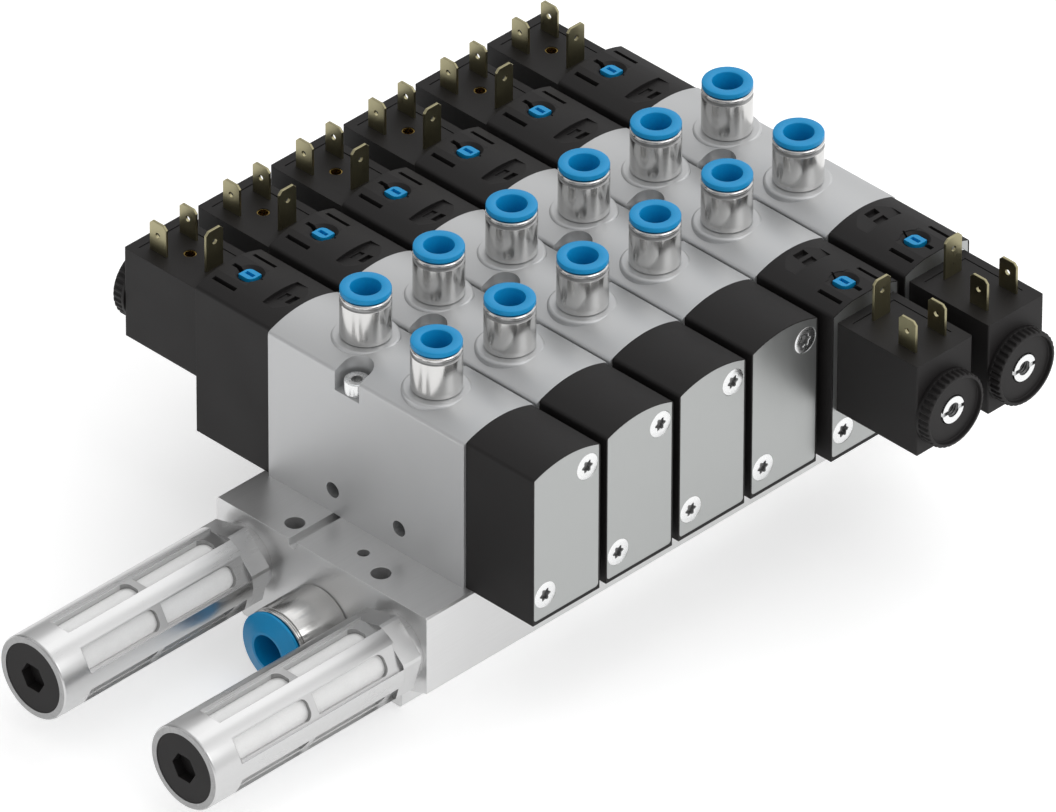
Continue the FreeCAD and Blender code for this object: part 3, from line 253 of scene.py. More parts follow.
def softened(tree, shader, radius):
    """Normals that make sharp edges look round over a radius in metres."""
    bevel = tree.nodes.new("ShaderNodeBevel")
    bevel.samples = 4
    bevel.inputs["Radius"].default_value = radius
    tree.links.new(bevel.outputs["Normal"], shader.inputs["Normal"])
    return bevel.outputs["Normal"]


def raised(tree, shader, value, height, normal=None):
    """Bump from a noise, with its height in metres, over any softened edges."""
    bump = tree.nodes.new("ShaderNodeBump")
    bump.inputs["Strength"].default_value = 1.0
    bump.inputs["Distance"].default_value = height
    tree.links.new(value, bump.inputs["Height"])
    if normal is not None:
        tree.links.new(normal, bump.inputs["Normal"])
    tree.links.new(bump.outputs["Normal"], shader.inputs["Normal"])


def drawn_along(tree, shader, axis):
    """Stretch the highlights along one of the object's own axes."""
    turn = tree.nodes.new("ShaderNodeVectorTransform")
    turn.vector_type = "VECTOR"
    turn.convert_from = "OBJECT"
    turn.convert_to = "WORLD"
    turn.inputs["Vector"].default_value = axis
    tree.links.new(turn.outputs["Vector"], shader.inputs["Tangent"])


def finish(name, base, metallic, rough, tone=0.04, fine=4.0, stretch=(1, 1, 1), bump=0.0,
           patch=0.05, anisotropic=0.0, specular=0.5, edge=0.0, along=None):
    """A finish whose tone and roughness vary in soft patches and in a fine grain.

    Patch and fine are counts per millimetre, and stretch lengthens the grain on each axis.
    Bump is the grain's height in millimetres, and edge the rounding of edges in metres.
    """
    material, tree, shader = new_material(name)
    soft = grain(tree, patch, (1, 1, 1), 2.0, 0.4)
    thin = grain(tree, fine, stretch, 4.0)
    half = tree.nodes.new("ShaderNodeMath")
    half.operation = "MULTIPLY"
    half.inputs[1].default_value = 0.5
    mixed = tree.nodes.new("ShaderNodeMath")
    mixed.operation = "MULTIPLY_ADD"
    mixed.inputs[1].default_value = 0.5
    tree.links.new(soft, half.inputs[0])
    tree.links.new(thin, mixed.inputs[0])
    tree.links.new(half.outputs[0], mixed.inputs[2])
    tree.links.new(toned(tree, mixed.outputs[0], base, tone), shader.inputs["Base Color"])
    tree.links.new(spread(tree, mixed.outputs[0], *rough), shader.inputs["Roughness"])
    shader.inputs["Metallic"].default_value = metallic
    shader.inputs["Anisotropic"].default_value = anisotropic
    shader.inputs["Specular IOR Level"].default_value = specular
    if along:
        drawn_along(tree, shader, along)
    normal = softened(tree, shader, edge) if edge else None
    if bump:
        raised(tree, shader, thin, bump * MM, normal)
    return material


def cast_finish():
    """Fine-blasted casting: an even silver grey with a very fine grain."""
    return finish("cast_aluminium", colours().cast, 0.75, (0.42, 0.50), tone=0.03, fine=5.0,
                  bump=0.006, patch=0.04, edge=sizes().soft_cast)


def rail_finish():
    """Extruded profile: drawing lines along the rail."""
    return finish("rail_aluminium", colours().rail, 0.85, (0.32, 0.42), tone=0.04, fine=3.0,
                  stretch=(60, 1, 1), bump=0.006, patch=0.03, anisotropic=0.3,
                  edge=sizes().soft_edge, along=(1, 0, 0))


def black_finish():
    """Glass-filled moulding: dark, with a fine spark-eroded texture."""
    return finish("black_plastic", colours().black, 0.0, (0.50, 0.62), tone=0.14, fine=4.0,
                  bump=0.010, patch=0.06, specular=0.26, edge=sizes().soft_edge)


def plate_finish():
    """Stainless sheet, ground upwards."""
    return finish("plate_steel", colours().plate, 0.9, (0.34, 0.42), tone=0.02, fine=4.0,
                  stretch=(1, 1, 40), bump=0.003, patch=0.05, anisotropic=0.3,
                  edge=0.6 * sizes().soft_edge, along=(0, 0, 1))


def screw_finish():
    """Bright zinc-plated steel."""
    return finish("screw_steel", colours().screw, 1.0, (0.22, 0.32), tone=0.03, fine=3.0,
                  bump=0.002, patch=0.2, edge=0.6 * sizes().soft_edge)


def painted_shade_steel(name, base):
    """Steel darkened with painted shade where little light comes in, without bump or softened
    edges.
    """
    return finish(name, base, 1.0, (0.30, 0.45), tone=0.15, fine=2.0, patch=0.5)


def painted_recess_shade_finish():
    """Steel inside a screw's recess, darkened as painted shade."""
    return painted_shade_steel("recess_steel_painted_shade", colours().recess)


def painted_thread_shade_finish():
    """Steel deep in the tubes' threads, darker than the open recesses: painted shade."""
    return painted_shade_steel("thread_steel_painted_shade", [0.3 * part for part in colours().recess])


def turned_plate(name, stretch, along):
    """Nickel plate over fine turning lines, which draw the highlights along the part's axis."""
    return finish(name, colours().plated, 1.0, (0.16, 0.21), tone=0.02, fine=6.0,
                  stretch=stretch, patch=0.1, anisotropic=0.75,
                  edge=0.5 * sizes().soft_edge, along=along)


def plated_finish():
    """Nickel plate on the fittings that were turned about the vertical."""
    return turned_plate("plated_brass", (12, 12, 1), (0, 0, 1))


def plated_across_finish():
    """The same plate on the fitting that was turned about the rail's direction."""
    return turned_plate("plated_brass_across", (1, 12, 12), (1, 0, 0))


def plug_finish():
    """The same plate on the blanking plugs, duller and without a turned direction."""
    return finish("plug_nickel", colours().plated, 1.0, (0.26, 0.34), tone=0.02, fine=4.0,
                  patch=0.1, edge=0.6 * sizes().soft_edge)


def silencer_finish():
    """Satin nickel plate, drawn along the tube."""
    return finish("silencer_nickel", colours().silencer, 1.0, (0.26, 0.33), tone=0.02, fine=5.0,
                  stretch=(40, 1, 1), patch=0.06, anisotropic=0.2, edge=0.12 * MM,
                  along=(1, 0, 0))


def blade_finish():
    """Tinned brass strip with rolling lines."""
    return finish("blade_brass", colours().blade, 1.0, (0.26, 0.36), tone=0.06, fine=5.0,
                  stretch=(1, 1, 30), bump=0.002, patch=0.12)


def brass_finish():
    """Bare turned brass."""
    return finish("insert_brass", colours().brass, 1.0, (0.18, 0.30), tone=0.06, fine=5.0,
                  bump=0.002, patch=0.3)


def blue_finish():
    """Blue acetal with a soft shine."""
    return finish("blue_acetal", colours().blue, 0.0, (0.34, 0.44), tone=0.04, fine=3.0,
                  bump=0.003, patch=0.2, specular=0.35, edge=0.5 * sizes().soft_edge)


def porous_finish():
    """Sintered beads: white, dull and finely pitted."""
    return finish("porous_plastic", colours().porous, 0.0, (0.75, 0.95), tone=0.04, fine=2.2,
                  bump=0.06, patch=0.15, specular=0.3)


def rubber_finish():
    """Moulded rubber."""
    return finish("seal_rubber", colours().rubber, 0.0, (0.60, 0.75), tone=0.10, fine=3.0,
                  bump=0.01, patch=0.2, specular=0.35)


MADE = {}


def shared(maker):
    """One copy of a finish for all the pieces that have it."""
    if maker not in MADE:
        MADE[maker] = maker()
    return MADE[maker]


def paint(node, material):
    """Give a carried-over node a better finish in all its slots."""
    slots = NODES[node].material_slots
    if not slots:
        raise RuntimeError("node %s has no material slot" % node)
    for slot in slots:
        slot.material = material


def circle(radius, steps, height):
    """Points round a circle at a height, in the radius's unit."""
    angles = [math.tau * step / steps for step in range(steps)]
    return [(radius * math.cos(angle), radius * math.sin(angle), height) for angle in angles]


def joined_rings(form, rings):
    """Quads from each ring of vertices to the next one."""
    for low, high in zip(rings, rings[1:]):
        for step in range(len(low)):
            after = (step + 1) % len(low)
            form.faces.new((low[step], low[after], high[after], high[step]))


def lathe(corners, steps):
    """A turned ring about +Z from its section's (radius, height) corners in millimetres."""
    form = bmesh.new()
    rings = [[form.verts.new(point) for point in circle(radius * MM, steps, height * MM)]
             for radius, height in corners]
    joined_rings(form, rings + rings[:1])
    bmesh.ops.recalc_face_normals(form, faces=form.faces)
    return form


def eased(corners, reach, steps=2):
    """Round the corners of a closed profile by a reach, or less where its sides are short."""
    most = 0.45     # share of a side that each of its two corners may take
    result = []
    total = len(corners)
    for index, corner in enumerate(corners):
        here = Vector(corner)
        before = Vector(corners[index - 1])
        after = Vector(corners[(index + 1) % total])
        to_before, to_after = before - here, after - here
        if min(to_before.length, to_after.length) < NOTHING:
            result.append(tuple(here))
            continue
        size = min(reach, to_before.length * most, to_after.length * most)
        start = here + to_before.normalized() * size
        end = here + to_after.normalized() * size
        for step in range(steps + 1):
            share = step / steps
            point = start * (1 - share) ** 2 + here * 2 * share * (1 - share) + end * share ** 2
            result.append(tuple(point))
    return result


def lying(point, direction):
    """Placement of a form made along +Z: along a direction, from a point in millimetres."""
    turn = UP.rotation_difference(Vector(direction)).to_matrix().to_4x4()
    return Matrix.Translation(Vector(point) * MM) @ turn


def repeated(form, placements):
    """Copies of one form as one mesh."""
    single = bpy.data.meshes.new("single")
    form.to_mesh(single)
    form.free()
    joined = bmesh.new()
    for placement in placements:
        start = len(joined.verts)
        joined.from_mesh(single)
        joined.verts.ensure_lookup_table()
        bmesh.ops.transform(joined, matrix=placement, verts=joined.verts[start:])
    bpy.data.meshes.remove(single)
    return joined


def add_piece(name, form, material, body, replaces=(), placement=None, sharp=35.0,
              second=None):
    """Turn a form into a piece that rides on a body and stands for the nodes it replaces.

    Edges whose faces turn by more than sharp, in degrees, stay sharp. A second material goes
    on the faces that the form marks with index 1.
    """
    mesh = bpy.data.meshes.new(name)
    limit = math.radians(sharp)
    for face in form.faces:
        face.smooth = True
    for edge in form.edges:
        if edge.is_manifold and edge.calc_face_angle(0) > limit:
            edge.smooth = False
    form.to_mesh(mesh)
    form.free()
    mesh.materials.append(material)
    if second is not None:
        mesh.materials.append(second)
    piece = bpy.data.objects.new(name, mesh)
    bpy.context.scene.collection.objects.link(piece)
    if placement is not None:
        piece.matrix_world = placement
    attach(piece, body)
    if replaces:
        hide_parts(*replaces)
    return piece


def cad_copy(node):
    """A welded copy of a node's form with its flat faces merged."""
    form = bmesh.new()
    form.from_mesh(NODES[node].data)
    bmesh.ops.remove_doubles(form, verts=form.verts, dist=WELD)
    flat = math.radians(0.6)
    bmesh.ops.dissolve_limit(form, angle_limit=flat, verts=form.verts, edges=form.edges)
    return form


def ease_edges(form, width, wanted):
    """Chamfer the sharp edges that a test picks, by a width in metres."""
    turned = 0.5    # radians
    edges = [edge for edge in form.edges
             if edge.is_manifold and edge.calc_face_angle(0) > turned and wanted(edge)]
    bmesh.ops.bevel(form, geom=edges, offset=width, offset_type="OFFSET", segments=1,
                    profile=0.5, affect="EDGES", clamp_overlap=True)


def star(lobes, outer, inner, steps, height):
    """Points of a lobed outline at a height, in metres."""
    points = []
    for step in range(steps):
        angle = math.tau * step / steps
        radius = (outer + inner) / 2 + (outer - inner) / 2 * math.cos(lobes * angle)
        points.append((radius * math.cos(angle), radius * math.sin(angle), height))
    return points


def polygon(sides, across_flats, steps, height):
    """Points round a regular polygon at a height, evenly stepped in angle, in metres."""
    points = []
    sector = math.tau / sides
    for step in range(steps):
        angle = math.tau * step / steps
        within = (angle + sector / 2) % sector - sector / 2
        radius = across_flats / 2 / math.cos(sector / 2 - abs(within))
        points.append((radius * math.cos(angle), radius * math.sin(angle), height))
    return points


def stacked(outlines):
    """A closed form through outlines that all have as many points."""
    form = bmesh.new()
    rings = [[form.verts.new(point) for point in outline] for outline in outlines]
    joined_rings(form, rings)
    form.faces.new(rings[0])
    form.faces.new(rings[-1])
    bmesh.ops.recalc_face_normals(form, faces=form.faces)
    return form


def valve_xs():
    """Middles of the valves along the rail, in millimetres."""
    return [FIRST_X + PITCH * index for index in range(VALVES)]


def pilot_places():
    """Middle and side of each pilot: one per valve on the +Y side, then the rest on the -Y side."""
    xs = valve_xs()
    two_pilots = PILOTS - VALVES
    return [(x, 1) for x in xs] + [(x, -1) for x in xs[VALVES - two_pilots:]]


def solid_boxes(node):
    """Lowest and highest corner of each solid of a node, in millimetres, in a fixed order."""
    form = bmesh.new()
    form.from_mesh(NODES[node].data)
    bmesh.ops.remove_doubles(form, verts=form.verts, dist=WELD)
    left = set(form.verts)
    boxes = []
    while left:
        group, queue = [], [left.pop()]
        while queue:
            vert = queue.pop()
            group.append(vert.co.copy())
            for edge in vert.link_edges:
                other = edge.other_vert(vert)
                if other in left:
                    left.remove(other)
                    queue.append(other)
        boxes.append(([min(point[axis] for point in group) / MM for axis in range(3)],
                      [max(point[axis] for point in group) / MM for axis in range(3)]))
    form.free()
    return sorted(boxes)


def plate_screw_places():
    """Point on the plate's face, outward side and length of each plate screw."""
    places = []
    for low, high in solid_boxes("plate_screws"):
        side = 1 if low[1] + high[1] > 0 else -1
        face = high[1] if side > 0 else low[1]
        point = ((low[0] + high[0]) / 2, face, (low[2] + high[2]) / 2)
        places.append((point, side, high[1] - low[1]))
    return places


def from_axis(point):
    """Distance of a point from the Z axis."""
    return math.hypot(point.x, point.y)


def mark_second(form, wanted):
    """Give the faces that a test picks, by their middles in millimetres, the second material."""
    for face in form.faces:
        if wanted(face.calc_center_median() / MM):
            face.material_index = 1


class IslandOperator(bpy.types.Operator):
    """Base of the operators that dress one kind of piece."""
    bl_options = {"REGISTER", "UNDO"}

    def execute(self, context):
        self.make()
        return {"FINISHED"}


class ISLAND_OT_rail(IslandOperator):
    """Finish the rail and its sealing strips"""
    bl_idname = "island.rail"
    bl_label = "Rail"

    def make(self):
        paint("manifold_rail", shared(rail_finish))
        paint("valve_gaskets", shared(rubber_finish))
        paint("tube_seals", shared(rubber_finish))


class ISLAND_OT_valve_bodies(IslandOperator):
    """Finish the cast bodies"""
    bl_idname = "island.valve_bodies"
    bl_label = "Valve bodies"

    def make(self):
        for index in range(VALVES):
            paint("valve_body_%d" % (index + 1), shared(cast_finish))


class ISLAND_OT_valve_screws(IslandOperator):
    """Cap screws with a chamfered head and a hexagon socket"""
    bl_idname = "island.valve_screws"
    bl_label = "Valve screws"

    def make(self):
        steps = 60
        boxes = solid_boxes("valve_screws")
        top = boxes[0][1][2]
        foot = (boxes[0][0][2] - top) * MM
        head, flats = sizes().screw_head, sizes().screw_socket
        shank = head - 1.5 * MM
        under = -sizes().screw_head_height
        ease, burr = 0.35 * MM, 0.1 * MM        # chamfers above and below the head
        mouth, socket = 0.12 * MM, 1.4 * MM     # depths of the round mouth and of the hexagon
        form = stacked([circle(shank - ease, steps, foot), circle(shank, steps, foot + ease),
                        circle(shank, steps, under), circle(head - burr, steps, under),
                        circle(head, steps, under + burr), circle(head, steps, -ease),
                        circle(head - 0.3 * ease, steps, -0.3 * ease),
                        circle(head - ease, steps, 0.0), circle(flats * 0.62, steps, 0.0),
                        polygon(6, flats, steps, -mouth), polygon(6, flats, steps, -socket)])
        # The socket's walls get the darker recess steel: painted shade inside the socket.
        wall_foot = 0.1 - socket / MM
        mark_second(form, lambda middle: wall_foot < middle.z
                    and from_axis(middle) < flats * 0.58 / MM)
        spots = []
        for low, high in boxes:
            middle = ((low[0] + high[0]) / 2 * MM, (low[1] + high[1]) / 2 * MM, top * MM)
            spots.append(Matrix.Translation(middle))
        add_piece("valve_cap_screws", repeated(form, spots), shared(screw_finish), ISLAND,
                  ("valve_screws",), second=shared(painted_recess_shade_finish))


class ISLAND_OT_inner_parts(IslandOperator):
    """Finish the spools and armatures inside"""
    bl_idname = "island.inner_parts"
    bl_label = "Inner parts"

    def make(self):
        for index in range(VALVES):
            paint("spool_%d" % (index + 1), shared(screw_finish))
        for index in range(PILOTS):
            paint("armature_%d" % (index + 1), shared(screw_finish))


class ISLAND_OT_mouldings(IslandOperator):
    """Finish the black pilot heads, end caps and coils"""
    bl_idname = "island.mouldings"
    bl_label = "Heads, caps and coils"

    def make(self):
        for node in ("pilot_heads", "end_caps", "coils"):
            paint(node, shared(black_finish))


class ISLAND_OT_end_plates(IslandOperator):
    """Finish the sheet-metal end plates"""
    bl_idname = "island.end_plates"
    bl_label = "End plates"

    def make(self):
        paint("end_plates", shared(plate_finish))


class ISLAND_OT_plate_screws(IslandOperator):
    """Countersunk screws with a six-lobed recess"""
    bl_idname = "island.plate_screws"
    bl_label = "Plate screws"

    def make(self):
        steps = 48
        head, drive = sizes().plate_screw_head, sizes().plate_screw_drive
        root = drive * 0.68                     # radius between the lobes
        shank, cone = 1.95 * MM, 1.9 * MM       # radius, and depth of the cone's foot
        rim, easing = 0.10 * MM, 0.15 * MM      # edge of the head, and its chamfer
        socket, taper = 1.3 * MM, 0.92          # depth, and share of the size at its floor
        places = plate_screw_places()
        for kind in sorted(set(round(span, 2) for point, side, span in places)):
            form = stacked([circle(shank, steps, -kind * MM), circle(shank, steps, -cone),
                            circle(head, steps, -rim), circle(head - easing, steps, 0.0),
                            star(6, drive + 0.1 * MM, root + 0.1 * MM, steps, 0.0),
                            star(6, drive, root, steps, -easing),
                            star(6, drive * taper, root * taper, steps, -socket)])
            # The lobed recess gets the darker recess steel: painted shade inside the drive.
            mark_second(form, lambda middle: -socket / MM - 0.1 < middle.z < -0.1
                        and from_axis(middle) < drive * 1.02 / MM)
            spots = [lying(point, (0, side, 0)) for point, side, span in places
                     if round(span, 2) == kind]
            add_piece("plate_screws_%d" % round(kind), repeated(form, spots),
                      shared(screw_finish), ISLAND, ("plate_screws",),
                      second=shared(painted_recess_shade_finish))


class ISLAND_OT_coil_nuts(IslandOperator):
    """Knurled nuts with a rim and a sunk face"""
    bl_idname = "island.coil_nuts"
    bl_label = "Coil nuts"

    def make(self):
        outer = sizes().nut_radius
        count = sizes().knurl_count
        steps = count * 8
        hole = 4.05 * MM                        # radius
        top = (node_mm("coil_nuts", 1, 1) - COIL_FACE) * MM
        ease, bevel = 0.1 * MM, 0.5 * MM
        band = 0.8 * MM                         # height of the plain band under the knurl

        def knurl(height, cap, share=1.0):
            """Ridges with flat tops, cut down to a radius that caps them."""
            points = []
            for step in range(steps):
                angle = math.tau * step / steps
                wave = min(1.0, max(0.0, 0.5 + 1.3 * math.cos(count * angle)))
                radius = min(cap, outer - sizes().knurl_depth * share * (1 - wave))
                points.append((radius * math.cos(angle), radius * math.sin(angle), height))
            return points

        dish = top - sizes().nut_dish
        inner = outer - bevel - sizes().nut_lip
        form = stacked([
            circle(hole, steps, 0), circle(outer - ease, steps, 0), circle(outer, steps, ease),
            circle(outer, steps, band), knurl(0.9 * MM, outer, 0.0), knurl(1.0 * MM, outer),
            knurl(top - bevel, outer), knurl(top - 0.6 * bevel, outer - 0.25 * bevel),
            knurl(top - 0.25 * bevel, outer - 0.6 * bevel), circle(outer - bevel, steps, top),
            circle(inner, steps, top), circle(inner - ease, steps, top - ease),
            circle(inner - 0.25 * MM, steps, dish + 0.15 * MM),
            circle(inner - 0.4 * MM, steps, dish), circle(hole + 0.3 * MM, steps, dish),
            circle(hole, steps, dish - 0.3 * MM)])
        caps = [face for face in form.faces if len(face.verts) == steps]
        bmesh.ops.delete(form, geom=caps, context="FACES_ONLY")
        rims = [edge for edge in form.edges if edge.is_boundary]
        bmesh.ops.bridge_loops(form, edges=rims)
        bmesh.ops.recalc_face_normals(form, faces=form.faces)
        spots = [lying((x, side * COIL_FACE, COIL_AXIS), (0, side, 0))
                 for x, side in pilot_places()]
        add_piece("coil_nut_knurls", repeated(form, spots), shared(black_finish), ISLAND,
                  ("coil_nuts",))


class ISLAND_OT_armature_tubes(IslandOperator):
    """Finish the armature tubes and cut the thread into their ends"""
    bl_idname = "island.armature_tubes"
    bl_label = "Armature tubes"

    def make(self):
        paint("armature_tubes", shared(screw_finish))
        pitch, depth, radius = 0.8, 0.4, 2.1
        turns = 9
        start, backing = 0.3, 0.02      # below the tube's end, and behind the grooves
        foot = -turns * pitch - start
        profile = []
        for turn in range(turns):
            low = foot + turn * pitch
            profile += [(radius, low), (radius - depth, low + pitch * 0.4),
                        (radius, low + pitch * 0.8)]
        profile += [(radius, -start), (radius + backing, -start), (radius + backing, foot)]
        form = lathe(profile, 32)
        end = node_mm("armature_tubes", 1, 1)
        spots = [lying((x, side * end, COIL_AXIS), (0, side, 0)) for x, side in pilot_places()]
        # The thread gets the darkest steel: painted shade deep in the tube ends.
        add_piece("armature_tube_threads", repeated(form, spots), shared(painted_thread_shade_finish), ISLAND)


class ISLAND_OT_contacts(IslandOperator):
    """Contact blades with eased edges, and the brass inserts"""
    bl_idname = "island.contacts"
    bl_label = "Contacts and inserts"

    def make(self):
        form = cad_copy("contact_blades")
        shortest = 1.2 * MM         # the edges across the strip's thickness stay sharp
        ease_edges(form, sizes().blade_edge, lambda edge: edge.calc_length() > shortest)
        add_piece("contact_blade_strips", form, shared(blade_finish), ISLAND,
                  ("contact_blades",), sharp=30)
        paint("coil_inserts", shared(brass_finish))


class ISLAND_OT_fittings(IslandOperator):
    """Plated bodies of the push-in fittings"""
    bl_idname = "island.fittings"
    bl_label = "Push-in fittings"

    def make(self):
        outer = sizes().fitting_radius / MM
        groove = outer - sizes().fitting_groove / MM
        through, tube, collet, mouth, stem = 3.6, 4.1, 5.45, 5.0, 6.5       # radii
        foot, lift = -9.9, 0.05             # heights over the boss
        top = FITTING_TOP - BODY_TOP
        lip, collet_foot, stop = top - 1.6, top - 9.0, top - 16.3
        groove_low, groove_high = top - 2.1, top - 0.95
        profile = [(through, foot), (stem, foot), (stem, lift), (outer - 0.25, lift),
                   (outer, 0.3), (outer, groove_low), (groove, top - 1.9), (groove, top - 1.15),
                   (outer, groove_high), (outer, top - 0.35), (outer - 0.35, top), (mouth, top),
                   (mouth, lip), (collet, lip), (collet, collet_foot), (tube, collet_foot),
                   (tube, stop), (through, stop)]
        form = lathe(eased(profile, 0.1), TURNED_STEPS)
        # The groove gets the darker recess steel: painted shade in the groove.
        mark_second(form, lambda middle: from_axis(middle) > groove - 0.2
                    and groove_low < middle.z < groove_high)
        spots = []
        for index in range(RINGS):
            low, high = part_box("release_ring_%d" % (index + 1))
            spots.append(lying(((low.x + high.x) / 2 / MM, (low.y + high.y) / 2 / MM, BODY_TOP),
                               UP))
        add_piece("fitting_shells", repeated(form, spots), shared(plated_finish), ISLAND,
                  ("fitting_bodies",), second=shared(painted_recess_shade_finish))


class ISLAND_OT_release_rings(IslandOperator):
    """Blue release rings with a rounded rim"""
    bl_idname = "island.release_rings"
    bl_label = "Release rings"

    def make(self):
        size = sizes()
        outer, bore, edge = size.ring_radius / MM, size.ring_bore / MM, size.ring_round / MM
        foot = node_mm("release_ring_1", 0, 2) - RING_TOP
        under = FITTING_TOP - RING_TOP + 0.3        # the flange stands off the fitting
        barb_top = FITTING_TOP - RING_TOP - 2.5     # and the barb stays under its lip
        sleeve = bore + 0.8
        barb = sleeve + 0.4
        corners = [(bore, foot), (sleeve, foot), (sleeve, barb_top - 1.6),
                   (barb, barb_top - 1.3), (barb, barb_top), (sleeve, barb_top),
                   (sleeve, under), (outer - 0.25, under), (outer, under + 0.25)]
        rim = [(outer, -edge), (outer - edge * 0.3, -edge * 0.3), (outer - edge, 0.0)]
        mouth = [(bore + 0.35, 0.0), (bore + 0.1, -0.12), (bore, -0.4)]
        profile = eased(corners, 0.08) + rim + mouth
        form = lathe(profile, TURNED_STEPS)
        shape = bpy.data.meshes.new("release_ring_form")
        form.to_mesh(shape)
        form.free()
        for index in range(RINGS):
            node = "release_ring_%d" % (index + 1)
            low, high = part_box(node)
            middle = (low + high) / 2
            place = Matrix.Translation((middle.x, middle.y, RING_TOP * MM))
            copy = bmesh.new()
            copy.from_mesh(shape)
            add_piece(node + "_blue", copy, shared(blue_finish), node, (node,),
                      place)
        bpy.data.meshes.remove(shape)


class ISLAND_OT_supply(IslandOperator):
    """The supply fitting and its coned release ring"""
    bl_idname = "island.supply"
    bl_label = "Supply fitting"

    def make(self):
        outer = sizes().supply_radius / MM
        bore = sizes().supply_ring_bore / MM
        through, stem = 4.5, 8.0            # radii
        sleeve = bore + 0.8
        mouth, collet = sleeve + 0.1, sleeve + 0.55
        neck, rim = outer - 0.6, outer - 0.1
        foot, lift = -11.0, 0.05            # heights over the rail's end
        top = RAIL_NEAR - node_mm("supply_fitting_body", 0, 0)
        lip, collet_foot, stop = top - 1.6, top - 9.0, top - 19.0
        profile = [(through, foot), (stem, foot), (stem, lift), (outer - 0.3, lift),
                   (outer, 0.35), (outer, top - 1.6), (neck, top - 1.5), (neck, top - 1.0),
                   (rim, top - 0.95), (rim, top - 0.35), (outer - 0.5, top), (mouth, top),
                   (mouth, lip), (collet, lip), (collet, collet_foot), (bore, collet_foot),
                   (bore, stop), (through, stop)]
        form = lathe(eased(profile, 0.15), 96)
        spot = lying((RAIL_NEAR, 0, SUPPLY_Z), (-1, 0, 0))
        bmesh.ops.transform(form, matrix=spot, verts=form.verts)
        add_piece("supply_fitting_shell", form, shared(plated_across_finish), ISLAND,
                  ("supply_fitting_body",))
        paint("supply_release_ring", shared(blue_finish))


class ISLAND_OT_buttons(IslandOperator):
    """Blue buttons of the manual overrides"""
    bl_idname = "island.buttons"
    bl_label = "Override buttons"

    def make(self):
        for index in range(PILOTS):
            paint("override_button_%d" % (index + 1), shared(blue_finish))


class ISLAND_OT_silencers(IslandOperator):
    """Silencer tubes, white porous inserts and black end plugs"""
    bl_idname = "island.silencers"
    bl_label = "Silencers"

    def make(self):
        form = cad_copy("silencer_bodies")
        end = node_mm("silencer_bodies", 0, 0)
        windows_low, windows_high = end + 3, RAIL_NEAR - 9      # the windows' reach along X
        inside = 4      # a face farther than this from the tube's axis isn't on its inner wall
        axes = [((low[1] + high[1]) / 2, (low[2] + high[2]) / 2)
                for low, high in solid_boxes("silencer_bodies")]
        # Painted shade: the turned end face and the walls of the windows get the darker recess
        # steel, which stands in for the shade that falls on them.
        for face in form.faces:
            middle = face.calc_center_median() / MM
            y, z = min(axes, key=lambda axis: abs(axis[0] - middle.y))
            outward = Vector((0, middle.y - y, middle.z - z))
            turned_end = middle.x < end + 0.3 and face.normal.x < -0.9
            window_wall = (windows_low < middle.x < windows_high and outward.length > inside
                           and abs(face.normal.dot(outward.normalized())) < 0.3)
            if turned_end or window_wall:
                face.material_index = 1
        add_piece("silencer_tubes", form, shared(silencer_finish), ISLAND,
                  ("silencer_bodies",), sharp=10.0, second=shared(painted_recess_shade_finish))
        paint("silencer_inserts", shared(porous_finish))
        paint("silencer_end_plugs", shared(black_finish))


class ISLAND_OT_port_plugs(IslandOperator):
    """Blanking plugs at the rail's far end"""
    bl_idname = "island.port_plugs"
    bl_label = "Port plugs"

    def make(self):
        paint("port_plugs", shared(plug_finish))


def add_lamp(name, place, target, power, width, height):
    """A large soft lamp that faces a point."""
    data = bpy.data.lights.new(name, "AREA")
    data.shape = "RECTANGLE"
    data.size = width
    data.size_y = height
    data.energy = power
    lamp = bpy.data.objects.new(name, data)
    lamp.location = place
    lamp.rotation_euler = (Vector(target) - Vector(place)).to_track_quat("-Z", "Y").to_euler()
    bpy.context.scene.collection.objects.link(lamp)


def add_screen(name, place, target, width, height, shade):
    """A grey studio screen that only reflections see. It gives polished parts their dark bands."""
    form = bmesh.new()
    bmesh.ops.create_grid(form, x_segments=1, y_segments=1, size=0.5)
    bmesh.ops.scale(form, vec=(width, height, 1), verts=form.verts)
    mesh = bpy.data.meshes.new(name)
    form.to_mesh(mesh)
    form.free()
    material, tree, shader = new_material(name)
    shader.inputs["Base Color"].default_value = (shade, shade, shade, 1)
    shader.inputs["Roughness"].default_value = 1.0
    mesh.materials.append(material)
    screen = bpy.data.objects.new(name, mesh)
    screen.location = place
    screen.rotation_euler = (Vector(target) - Vector(place)).to_track_quat("Z", "Y").to_euler()
    screen.visible_camera = False
    screen.visible_diffuse = False
    screen.visible_shadow = False
    bpy.context.scene.collection.objects.link(screen)


def seen_ray(tree):
    """1 for rays from the camera, and for those that metal and glass send on."""
    path = tree.nodes.new("ShaderNodeLightPath")
    first = tree.nodes.new("ShaderNodeMath")
    first.operation = "MAXIMUM"
    second = tree.nodes.new("ShaderNodeMath")
    second.operation = "MAXIMUM"
    tree.links.new(path.outputs["Is Camera Ray"], first.inputs[0])
    tree.links.new(path.outputs["Is Glossy Ray"], first.inputs[1])
    tree.links.new(first.outputs[0], second.inputs[0])
    tree.links.new(path.outputs["Is Transmission Ray"], second.inputs[1])
    return second.outputs[0]


